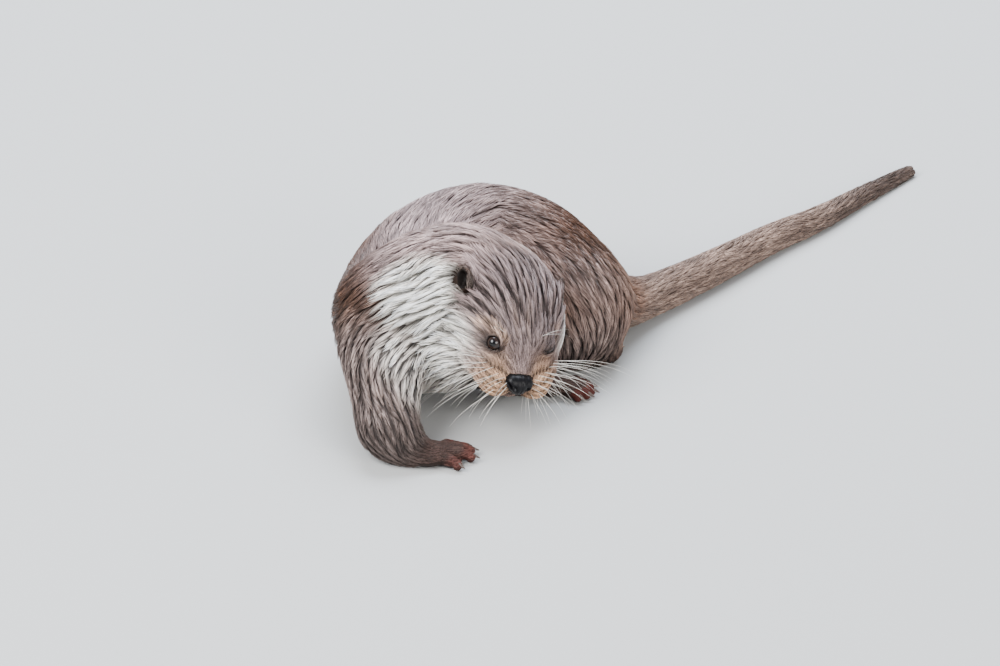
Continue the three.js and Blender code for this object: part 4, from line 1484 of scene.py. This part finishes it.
def whisker_paths():
    """Long stiff hairs from the pads and brows: root, direction, length and root radius of each."""
    own = np.random.default_rng(7)
    tree = BVHTree.FromPolygons(points.tolist(), triangles.tolist())
    paths = []
    for side in (-1, 1):
        middle = from_head((side * 9, -20, -7))
        for row, column in np.ndindex(6, 7):
            x = 10 + PAD_COLUMN * column + 0.5 * row
            q = np.array([side * x, -9.0 - 3.2 * column, 0.5 - PAD_ROW * row]) + own.normal(0, 0.3, 3)
            if q[2] < PAD_BOTTOM:
                continue
            outwards = from_head(q) - middle
            hit, normal, _, _ = tree.ray_cast(Vector(middle + outwards * 3), Vector(-outwards))
            if hit is None:
                continue
            way = np.array([side * 1.0, 0.35 - 0.10 * column, -0.25 - 0.17 * row])
            way = unit(head_way(unit(way)) * 0.8 + np.array(normal) * 0.5 + own.normal(0, 0.10, 3))
            length = own.uniform(44, 76) * (0.55 + 0.12 * column)
            paths.append((np.array(hit), way, length, PAD_HAIR))
        for k in range(3):
            above = from_head((side * (17 + 2 * k), -44 - k, 20)) + head_way((side * 4, 0, 20))
            hit, normal, _, _ = tree.ray_cast(Vector(above), Vector(-head_way((side * 0.2, 0, 1))))
            if hit is not None:
                way = unit(np.array(normal) + head_way((side * 0.9, -0.2, 0.1)) + own.normal(0, 0.15, 3))
                paths.append((np.array(hit), way, own.uniform(18, 28), BROW_HAIR))
    return paths


def whiskers():
    """The whiskers as one piece of thin tapered tubes that bend down under their own weight."""
    steps, sides = 9, 5
    vertices, faces = [], []
    for start, way, length, radius in whisker_paths():
        p = start - way * 0.8
        across = unit(np.cross(way, [0.3, 0.2, 0.9]))
        base = len(vertices)
        for i in range(steps + 1):
            share = i / steps
            if i:
                way = unit(way + np.array([0, 0, -0.11 * share]))
                p = p + way * length / steps
                p[2] = max(p[2], 1.0)
            up = np.cross(way, across)
            thick = radius * (1 - 0.85 * share)
            for j in range(sides):
                turn = 2 * math.pi * j / sides
                vertices.append(p + thick * (across * math.cos(turn) + up * math.sin(turn)))
        for i in range(steps):
            for j in range(sides):
                a, b = base + i * sides + j, base + i * sides + (j + 1) % sides
                faces += [(a, b, b + sides), (a, b + sides, a + sides)]
        for j in range(1, sides - 1):
            faces.append((base, base + j + 1, base + j))
            end = base + steps * sides
            faces.append((end, end + j, end + j + 1))
    piece = mesh_object("whiskers", np.array(vertices), faces)
    white = speckled_material("whisker", srgb(206, 198, 186), srgb(244, 240, 232), 60, 0.35, 0.0)
    finish_piece(piece, white)


whiskers()

# ---------------------------------------------------------------- floor, light and camera

# The camera looks down at a point over the forefeet. Its distance and lens are in mm.
DISTANCE = 4500
ELEVATION = math.radians(28)
TARGET = np.array([0, 0, 100.0])
SENSOR = 36
LENS = 174.96


def stage_floor():
    bpy.ops.mesh.primitive_plane_add(size=14, location=(0, 0, 0))
    floor = bpy.context.object
    floor.name = "floor"
    material, _, _, shader = new_material("floor")
    set_inputs(shader, {"Base Color": (0.42, 0.42, 0.41, 1), "Roughness": 0.9})
    floor.data.materials.append(material)


def area_light(name, place, power, size, colour):
    data = bpy.data.lights.new(name, "AREA")
    data.energy = power
    data.shape = "DISK"
    data.size = size
    data.color = colour
    light = bpy.data.objects.new(name, data)
    bpy.context.collection.objects.link(light)
    light.location = place
    light.rotation_euler = (-Vector(place)).to_track_quat("-Z", "Y").to_euler()


stage_floor()
area_light("key", (-2.2, -1.6, 2.6), 300, 2.6, (0.97, 0.98, 1.0))
area_light("fill", (2.0, -2.6, 1.3), 110, 2.0, (1.0, 0.98, 0.95))
area_light("sky", (0.1, 1.7, 2.8), 320, 2.8, (0.82, 0.89, 1.0))
world = bpy.data.worlds.new("studio")
world.use_nodes = True
sky = {"Color": (0.88, 0.92, 1.0, 1), "Strength": 0.7}
set_inputs(world.node_tree.nodes["Background"], sky)
bpy.context.scene.world = world

view = np.array([0, math.cos(ELEVATION), -math.sin(ELEVATION)])
camera = bpy.data.objects.new("camera", bpy.data.cameras.new("camera"))
bpy.context.collection.objects.link(camera)
camera.location = Vector(to_model(TARGET - view * DISTANCE))
camera.rotation_euler = Vector(view).to_track_quat("-Z", "Y").to_euler()
camera.data.sensor_width = SENSOR
camera.data.lens = LENS
camera.data.clip_end = 60
bpy.context.scene.camera = camera
